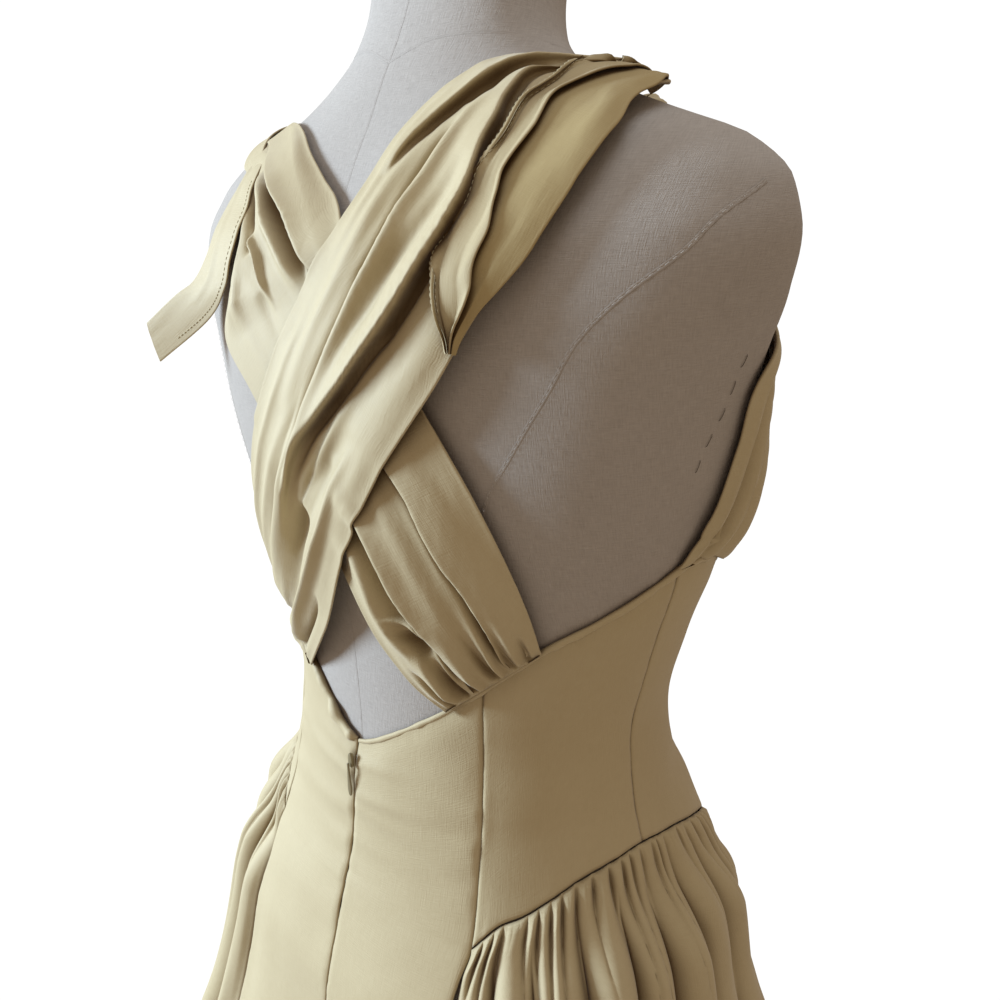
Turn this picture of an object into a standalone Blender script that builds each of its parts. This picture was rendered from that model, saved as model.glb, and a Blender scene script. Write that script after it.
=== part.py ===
"""A sleeveless midi dress with crossed back straps, on a limbless dress form.

All tables are in centimetres, with heights counted from the waist line.
phi is the angle round the body in degrees, from centre back (0) towards the
wearer's right side (90) to centre front (180); the left side is negative.
The wearer faces -Y, +Z is up, and the stand's foot rests on z = 0.
"""
import bpy
import bmesh
import math
import numpy as np
from mathutils.bvhtree import BVHTree

WAIST_HEIGHT = 108.0      # waist line above the floor
HEM = -78.0               # hem, below the waist
WALL = 0.16               # cloth wall
EASE = 0.30               # bodice panels' middle surface above the form
SEAM = 0.02               # each edge is drawn in by this at a seam
GATHER_GAP = 0.06         # the same at a gathered seam
POLE_R = 1.25
BASE_R, BASE_T = 17.0, 1.6

# ---------------------------------------------------------------- dress form
FORM = np.array([  # height, half width, depth behind, depth in front, roundness behind, in front
    (-27.3, 16.4, 11.8, 10.6, 2.2, 2.2),
    (-21.0, 17.2, 12.8, 11.4, 2.2, 2.2),
    (-14.7, 17.3, 12.5, 12.0, 2.2, 2.2),
    (-8.4, 15.7, 11.0, 11.9, 2.2, 2.2),
    (-3.2, 13.6, 9.4, 10.9, 2.15, 2.15),
    (0.0, 12.65, 9.0, 9.4, 2.1, 2.1),
    (3.5, 12.3, 8.6, 8.8, 2.1, 2.1),
    (8.7, 13.5, 8.7, 8.8, 2.2, 2.2),
    (13.9, 15.3, 9.4, 9.1, 2.3, 2.2),
    (19.1, 17.1, 9.7, 8.6, 2.4, 2.2),
    (23.5, 18.3, 9.5, 7.4, 2.5, 2.2),
    (26.9, 19.7, 8.9, 6.2, 2.6, 2.2),
    (29.5, 20.3, 8.1, 5.0, 2.5, 2.2),
    (31.4, 19.9, 7.0, 4.1, 2.3, 2.1),
    (33.0, 18.1, 6.2, 3.6, 2.1, 2.0),
    (34.4, 14.1, 5.4, 3.7, 2.0, 2.0),
    (35.6, 10.7, 4.8, 4.0, 2.0, 2.0),
    (36.8, 8.3, 4.2, 4.5, 2.0, 2.0),
    (38.2, 6.6, 3.4, 5.4, 2.0, 2.0),
    (40.4, 5.6, 2.4, 6.5, 2.0, 2.0),
    (44.3, 5.1, 1.5, 8.0, 2.0, 2.0),
])
BUST = dict(x=9.0, z=17.3, push=3.8, wide=5.5, above=7.9, below=5.0)
BLADE = dict(x=7.9, z=27.3, push=0.75, wide=4.7, tall=8.4)
NECK_CUT = (43.2, 0.42)   # the neck ends on the plane height = 43.2 + 0.42 * y
FORM_END = -27.0          # flat underside of the form
FORM_ROUND = ((-27.0, 0.88), (-26.4, 0.95), (-25.3, 0.985))   # height, share of the section

# ------------------------------------------------------------------ the cut
TOP_EDGE = np.array([  # phi, height of the bodice's top edge
    (0, 2.1), (6, 2.4), (23.8, 4.0), (42.5, 6.3), (55.5, 8.6), (64.2, 10.4),
    (73.2, 11.9), (83.2, 13.4), (91.5, 14.3), (100, 13.7), (115, 11.9),
    (135, 10.2), (160, 10.0), (180, 11.0)])
LOW_EDGE = np.array([  # phi, height of the slanted seam that carries the gathers
    (45.8, -6.5), (53.0, -5.1), (57.8, -4.6), (64.5, -3.7), (70.8, -2.9),
    (78.0, -2.4), (86.5, -2.1), (97.0, -2.4), (108.0, -3.2), (119.0, -4.4), (134.2, -6.5)])
GORE_SEAM = np.array([  # height, phi of the long seam beside the centre-back panel
    (-78.0, 41.5), (-60.0, 40.2), (-40.0, 39.0), (-20.0, 38.6), (-12.3, 39.7), (-9.3, 40.8),
    (-8.0, 42.6), (-6.5, 45.8), (-5.1, 47.0), (-3.0, 48.2), (0.3, 49.8), (3.7, 50.8), (7.8, 51.2), (20.0, 51.4)])
SIDE_SEAM = 88.0
CORNER = -6.5             # where the gathered seam meets the long seam
SKIRT = np.array([  # height, half width, depth behind, depth in front, roundness behind, in front
    (-78.0, 37.0, 31.5, 31.5, 2.15, 2.1),
    (-60.0, 32.0, 26.5, 27.0, 2.25, 2.1),
    (-40.0, 26.0, 20.8, 21.4, 2.45, 2.1),
    (-27.0, 22.0, 16.6, 17.4, 2.7, 2.1),
    (-21.0, 19.4, 14.5, 15.0, 2.8, 2.1),
    (-15.0, 17.7, 13.0, 13.5, 2.8, 2.1),
    (-12.0, 16.9, 12.45, 12.9, 2.8, 2.1),
    (-8.4, 16.4, 11.35, 12.9, 2.7, 2.1),
    (-6.5, 16.0, 10.8, 12.6, 2.55, 2.1),
    (-4.0, 14.9, 10.0, 12.0, 2.4, 2.1),
    (-2.0, 13.6, 9.6, 11.2, 2.2, 2.1)])

SKIRT_FOLDS = [  # place round the panel 0-1, half width, height at the hem, drift of the place
    (0.045, 0.040, 2.6, 0.000), (0.135, 0.048, 3.4, 0.012), (0.232, 0.042, 2.4, -0.008),
    (0.318, 0.044, 3.6, 0.010), (0.415, 0.050, 2.8, 0.006), (0.512, 0.044, 3.5, -0.010),
    (0.605, 0.046, 2.5, 0.008), (0.702, 0.048, 3.4, -0.006), (0.795, 0.042, 2.7, 0.010),
    (0.880, 0.044, 3.2, -0.012), (0.958, 0.038, 2.4, 0.000)]

# straps: share of the length, then phi, height and lift of the outer edge and of the inner edge
STRAP_OVER = np.array([
    (0.000, -31.0, 5.0, 0.35, -60.0, 9.7, 0.35),
    (0.065, -17.0, 6.9, 0.85, -50.0, 12.6, 0.40),
    (0.140, -3.0, 9.4, 1.25, -41.0, 15.8, 0.38),
    (0.215, 9.5, 12.2, 1.50, -31.5, 18.6, 0.38),
    (0.300, 22.5, 15.7, 1.65, -22.0, 21.0, 0.60),
    (0.380, 33.0, 19.0, 1.45, -10.0, 24.2, 0.85),
    (0.460, 44.0, 22.6, 1.15, 4.2, 27.4, 0.95),
    (0.545, 52.8, 26.1, 0.80, 16.0, 29.8, 0.80),
    (0.625, 60.0, 28.8, 0.65, 24.5, 32.0, 0.60),
    (0.710, 67.0, 31.1, 0.60, 38.0, 34.1, 0.50),
    (0.800, 74.0, 33.1, 0.58, 54.0, 35.6, 0.45),
    (0.885, 80.5, 34.1, 0.55, 70.0, 36.3, 0.45),
    (0.945, 87.0, 34.6, 0.60, 85.0, 35.9, 0.55),
    (1.000, 97.5, 34.7, 0.95, 101.0, 35.4, 0.90)])
STRAP_UNDER = np.array([
    (0.000, 63.5, 10.55, 0.35, 41.5, 6.45, 0.35),
    (0.060, 60.8, 12.6, 0.38, 34.0, 7.9, 1.05),
    (0.125, 57.5, 14.8, 0.40, 25.0, 10.2, 1.30),
    (0.195, 53.0, 17.4, 0.40, 16.0, 13.0, 1.15),
    (0.270, 47.5, 20.1, 0.40, 5.0, 15.5, 0.75),
    (0.345, 40.0, 22.9, 0.40, -8.0, 17.6, 0.55),
    (0.420, 30.0, 25.6, 0.42, -18.0, 19.4, 0.50),
    (0.490, 20.0, 28.0, 0.42, -28.0, 21.7, 0.55),
    (0.560, 6.0, 30.4, 0.42, -37.5, 23.9, 0.65),
    (0.635, -16.0, 32.3, 0.40, -37.0, 26.2, 0.62),
    (0.710, -33.5, 33.5, 0.34, -38.0, 28.8, 0.52),
    (0.785, -47.0, 34.2, 0.30, -49.0, 31.1, 0.42),
    (0.870, -64.0, 34.7, 0.26, -61.0, 32.9, 0.34),
    (0.935, -83.0, 35.0, 0.32, -79.0, 33.9, 0.34),
    (1.000, -101.0, 35.1, 0.85, -97.5, 34.5, 0.88)])
STRAP_FOLDS = [  # place across 0 outer - 1 inner, half width, height, where it is strongest, reach
    (0.02, 0.05, 0.10, 0.50, 0.9), (0.27, 0.10, 0.22, 0.45, 0.8), (0.44, 0.08, -0.18, 0.55, 0.5),
    (0.58, 0.09, 0.24, 0.55, 0.7), (0.76, 0.09, 0.20, 0.40, 0.7), (0.93, 0.07, 0.12, 0.60, 0.6)]

# bust cups: share of the length, armhole edge phi, height, lift, neck edge phi, height, lift
CUP = np.array([
    (0.00, 84.0, 13.9, 0.35, 178.6, 11.3, 0.45),
    (0.16, 85.5, 17.0, 0.45, 177.6, 14.0, 0.80),
    (0.32, 86.5, 20.8, 0.42, 168.0, 18.0, 0.75),
    (0.47, 90.5, 24.0, 0.56, 154.0, 22.0, 0.65),
    (0.55, 101.0, 25.4, 0.62, 147.0, 23.8, 0.62),
    (0.63, 109.0, 27.2, 0.60, 140.0, 25.7, 0.60),
    (0.76, 110.5, 29.8, 0.60, 131.0, 28.9, 0.60),
    (0.88, 108.5, 31.8, 0.75, 120.0, 31.5, 0.75),
    (0.95, 105.5, 33.0, 0.95, 113.0, 32.9, 0.95)])
CUP_FOLDS = [  # place across 0 armhole - 1 neck, half width, height, where it is strongest, reach
    (0.07, 0.07, 0.28, 0.38, 0.5), (0.22, 0.08, 0.34, 0.30, 0.6), (0.38, 0.08, 0.50, 0.25, 0.6),
    (0.54, 0.08, 0.45, 0.25, 0.6), (0.70, 0.08, 0.40, 0.25, 0.6), (0.86, 0.07, 0.35, 0.30, 0.6)]

KNOT = dict(phi=106.2, z=34.0, lift=1.15, along=1.10, across=1.20, out=0.95)

TIE_LEFT = np.array([  # x, y, height of the edge by the neck, then of the outer edge
    (12.2, -3.1, 35.1, 13.1, -3.5, 34.4),
    (13.3, -0.4, 35.0, 14.4, -0.6, 34.3),
    (13.2, 2.0, 34.5, 14.3, 2.1, 33.9),
    (11.8, 4.0, 33.8, 12.7, 4.5, 33.1),
    (9.9, 5.8, 32.9, 10.5, 6.3, 32.2),
    (8.6, 7.2, 31.0, 9.4, 7.5, 31.0),
    (8.3, 8.7, 28.6, 10.1, 8.4, 29.5),
    (8.9, 9.0, 27.0, 11.2, 9.1, 27.8),
    (10.0, 9.2, 25.2, 12.0, 9.8, 26.5),
    (11.2, 9.6, 23.9, 12.8, 10.3, 25.7),
    (13.8, 11.3, 22.4, 14.6, 11.3, 24.5)])
TIE_RIGHT = np.array([  # phi and height of the inner edge, of the outer edge, lift
    (98.5, 35.2, 98.0, 34.7, 1.30),
    (89.5, 35.3, 90.0, 34.6, 1.00),
    (81.0, 35.4, 85.0, 34.4, 0.90),
    (74.5, 34.9, 78.5, 33.8, 0.98),
    (67.0, 33.8, 73.5, 32.8, 0.98),
    (59.5, 32.1, 69.0, 31.7, 1.00),
    (54.3, 30.5, 64.5, 30.1, 1.02),
    (50.2, 28.9, 60.0, 28.6, 1.05),
    (48.0, 27.3, 56.0, 27.0, 1.12),
    (49.0, 25.7, 52.5, 25.5, 1.25),
    (50.2, 24.9, 51.0, 24.7, 1.35)])


def hermite(x, xs, ys):
    """Smooth curve through the rows that keeps their rise and fall."""
    x = np.asarray(x, float)
    xs, ys = np.asarray(xs, float), np.asarray(ys, float)
    h = np.diff(xs)
    d = np.diff(ys) / h
    m = np.zeros(len(xs))
    for i in range(1, len(xs) - 1):
        if d[i - 1] * d[i] > 0:
            a, b = 2 * h[i] + h[i - 1], h[i] + 2 * h[i - 1]
            m[i] = (a + b) / (a / d[i - 1] + b / d[i])
    m[0], m[-1] = d[0], d[-1]
    k = np.clip(np.searchsorted(xs, x) - 1, 0, len(xs) - 2)
    t = (np.clip(x, xs[0], xs[-1]) - xs[k]) / h[k]
    t2, t3 = t * t, t * t * t
    return ((2 * t3 - 3 * t2 + 1) * ys[k] + (t3 - 2 * t2 + t) * h[k] * m[k]
            + (-2 * t3 + 3 * t2) * ys[k + 1] + (t3 - t2) * h[k] * m[k + 1])


def smooth(t):
    t = np.clip(t, 0, 1)
    return t * t * (3 - 2 * t)


def section(table, phi, z):
    """Point of an oval section; phi in degrees from centre back."""
    phi, z = np.broadcast_arrays(np.asarray(phi, float), np.asarray(z, float))
    w, b, f, nb, nf = (hermite(z, table[:, 0], table[:, i]) for i in range(1, 6))
    s, c = -np.sin(np.radians(phi)), np.cos(np.radians(phi))   # towards +X and towards the back
    n = np.where(c > 0, nb, nf)
    d = np.where(c > 0, b, f)
    r = (np.abs(s / w) ** n + np.abs(c / d) ** n) ** (-1 / n)
    return r, s, c, z


def form_point(phi, z):
    """The dress form's surface, bust and shoulder blades included."""
    r, s, c, z = section(FORM, phi, z)
    x = np.abs(r * s)
    tall = np.where(z > BUST['z'] - 0.0, BUST['above'], BUST['below'])
    g = np.exp(-((x - BUST['x']) / BUST['wide']) ** 2 - ((z - BUST['z']) / tall) ** 2)
    r = r + BUST['push'] * g * np.clip(-c, 0, 1) ** 0.6
    g = np.exp(-((x - BLADE['x']) / BLADE['wide']) ** 2 - ((z - BLADE['z']) / BLADE['tall']) ** 2)
    r = r + BLADE['push'] * g * np.clip(c, 0, 1)
    return np.stack([r * s, r * c, z], -1)


def outward(fn, phi, z):
    """Unit normal of a surface given as fn(phi, z)."""
    e = 0.05
    a = fn(phi + e * 8, z) - fn(phi - e * 8, z)
    b = fn(phi, z + e) - fn(phi, z - e)
    n = np.cross(a, b)
    return n / np.linalg.norm(n, axis=-1, keepdims=True)


def on_form(phi, z, lift):
    phi, z, lift = np.broadcast_arrays(np.asarray(phi, float), np.asarray(z, float), np.asarray(lift, float))
    return form_point(phi, z) + outward(form_point, phi, z) * lift[..., None]


def skirt_point(phi, z):
    r, s, c, z = section(SKIRT, phi, z)
    return np.stack([r * s, r * c, z], -1)


def below_waist(phi, z, z_top):
    """Cloth that lies on the form at its top seam and hangs free below it."""
    near = on_form(phi, np.maximum(z, FORM_END), EASE)
    far = skirt_point(phi, z)
    near = np.stack([near[..., 0], near[..., 1], np.broadcast_to(z, near[..., 2].shape)], -1)
    k = 1 - np.exp(-np.maximum(z_top - z, 0) / 3.2)
    k = np.where(z < FORM_END + 3, 1.0, k)
    return near + (far - near) * k[..., None]


# ------------------------------------------------------------ solid builders
def make_tree():
    phi = np.linspace(-180, 180, 145)[:-1]
    z = np.linspace(-27, 44, 143)
    p = form_point(phi[None, :], z[:, None])
    n, m = p.shape[:2]
    quads = [(i * m + j, i * m + (j + 1) % m, (i + 1) * m + (j + 1) % m, (i + 1) * m + j)
             for i in range(n - 1) for j in range(m)]
    return BVHTree.FromPolygons([tuple(v) for v in p.reshape(-1, 3)], quads)


TREE = make_tree()


def clear_of(p, lift, tree, reach=None):
    """Moves points that are nearer a surface than lift out to that height; reach fades it past the surface's rim."""
    q = p.reshape(-1, 3).copy()
    want = np.broadcast_to(lift, p.shape[:-1]).reshape(-1)
    soft = 0.25 if reach is None else 0.08
    for i, v in enumerate(q):
        loc, nrm, _, dist = tree.find_nearest(tuple(v))
        loc = np.array(loc)
        out = np.array(nrm)
        h = (v - loc) @ out
        if h >= want[i] + 1.2:
            continue
        aside = math.sqrt(max(dist * dist - h * h, 0.0))
        k = 1.0 if reach is None else float(smooth(1 - aside / reach))
        h2 = want[i] + soft * np.log1p(np.exp(np.clip((h - want[i]) / soft, -30, 30)))
        q[i] = v + out * (h2 - h) * k
    return q.reshape(p.shape)


def clear_of_form(p, lift):
    return clear_of(p, lift, TREE)


def settle(p, clear, rounds=6):
    """Lays a strip clear of what it crosses in soft steps, so that it doesn't crease."""
    for _ in range(rounds):
        d = clear(p) - p
        for axis in (0, 0, 1):
            e = np.concatenate([np.take(d, [0], axis), d, np.take(d, [-1], axis)], axis)
            d = 0.5 * d + 0.25 * (np.delete(e, [0, 1], axis) + np.delete(e, [-1, -2], axis))
        p = p + d
    return p


def tree_of(p):
    """Search tree of a grid of points."""
    n, m = p.shape[:2]
    quads = [(i * m + j, (i + 1) * m + j, (i + 1) * m + j + 1, i * m + j + 1) for i in range(n - 1) for j in range(m - 1)]
    return BVHTree.FromPolygons([tuple(v) for v in p.reshape(-1, 3)], quads)


def grid_normals(p):
    n = np.cross(np.gradient(p, axis=0), np.gradient(p, axis=1))
    return n / np.maximum(np.linalg.norm(n, axis=-1, keepdims=True), 1e-9)


def draw_in(p, first_row=SEAM, last_row=SEAM, first_col=SEAM, last_col=SEAM):
    """Draws a panel's edges in, so that neighbours keep a seam gap."""
    p = p.copy()

    def shift(edge, inner, g):
        d = inner - edge
        return edge + d / np.maximum(np.linalg.norm(d, axis=-1, keepdims=True), 1e-9) * g
    p[0] = shift(p[0], p[1], first_row)
    p[-1] = shift(p[-1], p[-2], last_row)
    p[:, 0] = shift(p[:, 0], p[:, 1], first_col)
    p[:, -1] = shift(p[:, -1], p[:, -2], last_col)
    return p


def wall(p, thick=WALL, normals=None):
    """A closed solid of even thickness about a grid of points."""
    n = grid_normals(p) if normals is None else normals
    rows, cols = p.shape[:2]
    out, inn = p + n * thick / 2, p - n * thick / 2
    verts = np.concatenate([out.reshape(-1, 3), inn.reshape(-1, 3)])
    k = rows * cols

    def at(i, j, side):
        return side * k + i * cols + j
    faces = []
    for i in range(rows - 1):
        for j in range(cols - 1):
            faces.append((at(i, j, 0), at(i + 1, j, 0), at(i + 1, j + 1, 0), at(i, j + 1, 0)))
            faces.append((at(i, j, 1), at(i, j + 1, 1), at(i + 1, j + 1, 1), at(i + 1, j, 1)))
    for j in range(cols - 1):
        faces.append((at(0, j, 0), at(0, j + 1, 0), at(0, j + 1, 1), at(0, j, 1)))
        faces.append((at(rows - 1, j + 1, 0), at(rows - 1, j, 0), at(rows - 1, j, 1), at(rows - 1, j + 1, 1)))
    for i in range(rows - 1):
        faces.append((at(i + 1, 0, 0), at(i, 0, 0), at(i, 0, 1), at(i + 1, 0, 1)))
        faces.append((at(i, cols - 1, 0), at(i + 1, cols - 1, 0), at(i + 1, cols - 1, 1), at(i, cols - 1, 1)))
    return verts, faces


def add(name, verts, faces, material, origin=(0.0, 0.0, 0.0), smooth_angle=40):
    """Makes an object in metres, with its origin at the given point."""
    world = np.asarray(verts, float) * 0.01 + np.array([0, 0, WAIST_HEIGHT * 0.01])
    local = world - np.array(origin)
    mesh = bpy.data.meshes.new(name)
    mesh.from_pydata([tuple(v) for v in local], [], faces)
    bm = bmesh.new()
    bm.from_mesh(mesh)
    bmesh.ops.recalc_face_normals(bm, faces=bm.faces)
    bm.to_mesh(mesh)
    bm.free()
    mesh.shade_smooth()
    mesh.set_sharp_from_angle(angle=math.radians(smooth_angle))
    obj = bpy.data.objects.new(name, mesh)
    obj.location = origin
    obj.data.materials.append(material)
    bpy.context.scene.collection.objects.link(obj)
    return obj


def material(name, color, roughness, metallic=0.0):
    m = bpy.data.materials.new(name)
    m.use_nodes = True
    b = m.node_tree.nodes['Principled BSDF']
    b.inputs['Base Color'].default_value = (*color, 1)
    b.inputs['Roughness'].default_value = roughness
    b.inputs['Metallic'].default_value = metallic
    return m


def mirrored(p):
    """The same grid on the other side of the body, rows kept, columns reversed."""
    q = p[:, ::-1].copy()
    q[..., 0] *= -1
    return q


# ------------------------------------------------------------- garment parts
UPPER_ROWS = np.array([7.8, 5.2, 2.6, -0.4, -3.5, CORNER])
LOWER_ROWS = np.array([-8.4, -11.0, -14.5, -19.0, -26.0, -36.0, -49.0, -63.0, HEM])
SEAM_ROWS = np.concatenate([UPPER_ROWS, LOWER_ROWS])


def top_edge(phi):
    return hermite(np.abs(phi), TOP_EDGE[:, 0], TOP_EDGE[:, 1])


def low_edge(phi):
    return hermite(phi, LOW_EDGE[:, 0], LOW_EDGE[:, 1])


def gore_phi(z):
    return hermite(z, GORE_SEAM[:, 0], GORE_SEAM[:, 1])


def panel_normals(phi, z, z_top):
    return outward(lambda a, b: below_waist(a, b, z_top), phi, z)


def long_panel(u, front=False):
    """Centre panel from the top edge to the hem; u is the share of the way to the long seam."""
    u = np.asarray(u, float)[None, :]
    zs = SEAM_ROWS[:, None]
    phi = u * gore_phi(zs)
    if front:
        phi = np.where(phi < 0, -180 - phi, 180 - phi)
    t = np.clip((SEAM_ROWS[0] - zs) / (SEAM_ROWS[0] - CORNER), 0, 1)
    z0 = top_edge(phi[:1])
    z = np.where(zs > CORNER + 1e-6, z0 + (CORNER - z0) * t, zs + 0 * z0)
    top = np.full_like(z, CORNER)
    return below_waist(phi, z, top), panel_normals(phi, z, top)


def side_panel(front):
    """Fitted bodice panel between a princess seam and the side seam."""
    cols = np.linspace(0, 1, 6)[None, :]
    zs = UPPER_ROWS[:, None]
    t = (SEAM_ROWS[0] - zs) / (SEAM_ROWS[0] - CORNER)
    seam = gore_phi(zs)
    if front:
        phi = SIDE_SEAM + cols * (180 - seam - SIDE_SEAM)
    else:
        phi = seam + cols * (SIDE_SEAM - seam)
    z0 = top_edge(phi[:1])
    z1 = low_edge(phi[-1:])
    z = z0 + (z1 - z0) * t
    return on_form(phi, z, EASE), outward(form_point, phi, z)


def side_skirt(cols, rows):
    """Gathered panel from the back long seam round the side to the front one."""
    u = np.linspace(0, 1, cols)[None, :]
    edge_phi = 45.8 + u * (134.2 - 45.8)
    z0 = low_edge(edge_phi)
    levels = LOWER_ROWS
    v = np.concatenate([[0.0], (CORNER - levels) / (CORNER - HEM)])[:, None]
    z = z0 + (HEM - z0) * v
    zz = CORNER + (HEM - CORNER) * v
    back = gore_phi(zz)
    phi = back + u * (180 - 2 * back)
    p = below_waist(phi, z, z0 + 0.0 * z)
    n = panel_normals(phi, z, z0 + 0.0 * z)
    n[0] = outward(form_point, edge_phi[0], z0[0])
    ramp = smooth(v / 0.10) * (0.30 + 0.70 * smooth((v - 0.05) / 0.75))
    h = np.zeros_like(p[..., 0])
    for place, half, high, drift in SKIRT_FOLDS:
        s = (u - place - drift * v) / (half * 1.05)
        h += high * ramp * np.where(np.abs(s) < 1, 0.5 + 0.5 * np.cos(np.pi * s), 0)
    h -= 1.5 * smooth((v - 0.16) / 0.35) * np.sin(np.pi * np.clip(u, 0, 1)) ** 0.5
    p = p + n * h[..., None]
    p[..., 2] = z
    return p, n


def band(table, cols, rows, folds, thick=WALL, taut=True):
    """Strap between two edges on the form, spanning its hollows, with lengthwise folds."""
    s = np.linspace(0, 1, rows)
    c = [hermite(s, table[:, 0], table[:, i]) for i in range(1, 7)]
    a = on_form(c[0], c[1], c[2])
    b = on_form(c[3], c[4], c[5])
    u = np.linspace(0, 1, cols)[None, :, None]
    p = a[:, None] * (1 - u) + b[:, None] * u
    lift = c[2][:, None] * (1 - u[..., 0]) + c[5][:, None] * u[..., 0]
    p = clear_of_form(p, lift * 0.9)
    n = grid_normals(p)
    axis = p.copy()
    axis[..., 2] = 0
    n = np.where((n * axis).sum(-1, keepdims=True) < 0, -n, n)
    h = np.zeros(p.shape[:2])
    for place, half, high, best, reach in folds:
        x = (u[..., 0] - place) / half
        y = (s[:, None] - best) / reach
        h += high * np.exp(-x * x) * np.exp(-y * y * 2)
    ends = smooth(s / 0.08) * smooth((1 - s) / 0.08)
    return p + n * (h * ends[:, None])[..., None], n


def ellipsoid(centre, axes, radii, rings=8, segs=14):
    """Closed oval lump."""
    verts = [centre + axes[2] * radii[2]]
    for i in range(1, rings):
        a = math.pi * i / rings
        for j in range(segs):
            b = 2 * math.pi * j / segs
            k = 1 + 0.08 * math.cos(3 * b + 2 * a)
            verts.append(centre + axes[0] * radii[0] * math.sin(a) * math.cos(b) * k
                         + axes[1] * radii[1] * math.sin(a) * math.sin(b) * k
                         + axes[2] * radii[2] * math.cos(a))
    verts.append(centre - axes[2] * radii[2])
    faces = [(0, 1 + j, 1 + (j + 1) % segs) for j in range(segs)]
    for i in range(rings - 2):
        for j in range(segs):
            a, b = 1 + i * segs + j, 1 + i * segs + (j + 1) % segs
            faces.append((a, a + segs, b + segs, b))
    last = len(verts) - 1
    base = 1 + (rings - 2) * segs
    faces += [(last, base + (j + 1) % segs, base + j) for j in range(segs)]
    return np.array(verts), faces


def disc_stack(profile, segs=64, squash=(1, 1)):
    """Turned solid from (radius, height) rows, closed top and bottom."""
    verts, faces = [], []
    for r, z in profile:
        for j in range(segs):
            a = 2 * math.pi * j / segs
            verts.append((r * math.cos(a) * squash[0], r * math.sin(a) * squash[1], z))
    for i in range(len(profile) - 1):
        for j in range(segs):
            a, b = i * segs + j, i * segs + (j + 1) % segs
            faces.append((a, b, b + segs, a + segs))
    faces.append(tuple(reversed(range(segs))))
    top = (len(profile) - 1) * segs
    faces.append(tuple(range(top, top + segs)))
    return np.array(verts), faces


def torso():
    cols = 36
    phi = np.linspace(-180, 180, cols + 1)[:-1]
    rows = []
    for z, k in FORM_ROUND:
        p = form_point(phi, np.full(cols, z))
        p[:, :2] *= k
        rows.append(p)
    for z in (-23.0, -19.0, -14.7, -10.5, -6.5, -3.0, 0.0, 3.5, 7.0, 10.5, 14.0, 17.3, 20.5, 23.5,
              26.5, 29.0, 30.8, 32.2, 33.4, 34.5, 35.6):
        rows.append(form_point(phi, np.full(cols, z)))
    for share in (0.16, 0.38, 0.66, 1.0):
        y = np.zeros(cols)
        for _ in range(12):
            z = 35.6 + share * (NECK_CUT[0] + NECK_CUT[1] * y - 35.6)
            q = form_point(phi, z)
            y = form_point(phi, NECK_CUT[0] + NECK_CUT[1] * y)[:, 1] if share == 1.0 else y * 0.5 + 0.5 * form_point(
                phi, NECK_CUT[0] + NECK_CUT[1] * y)[:, 1]
        rows.append(q)
    p = np.array(rows)
    n = len(rows)
    verts = p.reshape(-1, 3)
    faces = [(i * cols + j, i * cols + (j + 1) % cols, (i + 1) * cols + (j + 1) % cols, (i + 1) * cols + j)
             for i in range(n - 1) for j in range(cols)]
    faces.append(tuple(range(cols)))
    faces.append(tuple((n - 1) * cols + j for j in reversed(range(cols))))
    return verts, faces, p[-1]


def neck_plate(ring):
    """Flat plate with rounded edges on the neck's slanted cut."""
    centre = ring.mean(0)
    up = np.array([0, -NECK_CUT[1], 1.0])
    up /= np.linalg.norm(up)
    flat = ring - centre
    flat = flat - np.outer(flat @ up, up)
    rows = []
    for k, h in ((0.93, 0.05), (1.005, 0.25), (1.005, 0.75), (0.94, 1.10), (0.70, 1.38), (0.35, 1.50)):
        rows.append(centre + flat * k + up * h)
    cols = len(ring)
    verts = np.concatenate(rows)
    faces = [(i * cols + j, i * cols + (j + 1) % cols, (i + 1) * cols + (j + 1) % cols, (i + 1) * cols + j)
             for i in range(len(rows) - 1) for j in range(cols)]
    faces.append(tuple(range(cols)))
    faces.append(tuple((len(rows) - 1) * cols + j for j in reversed(range(cols))))
    return verts, faces


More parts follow.
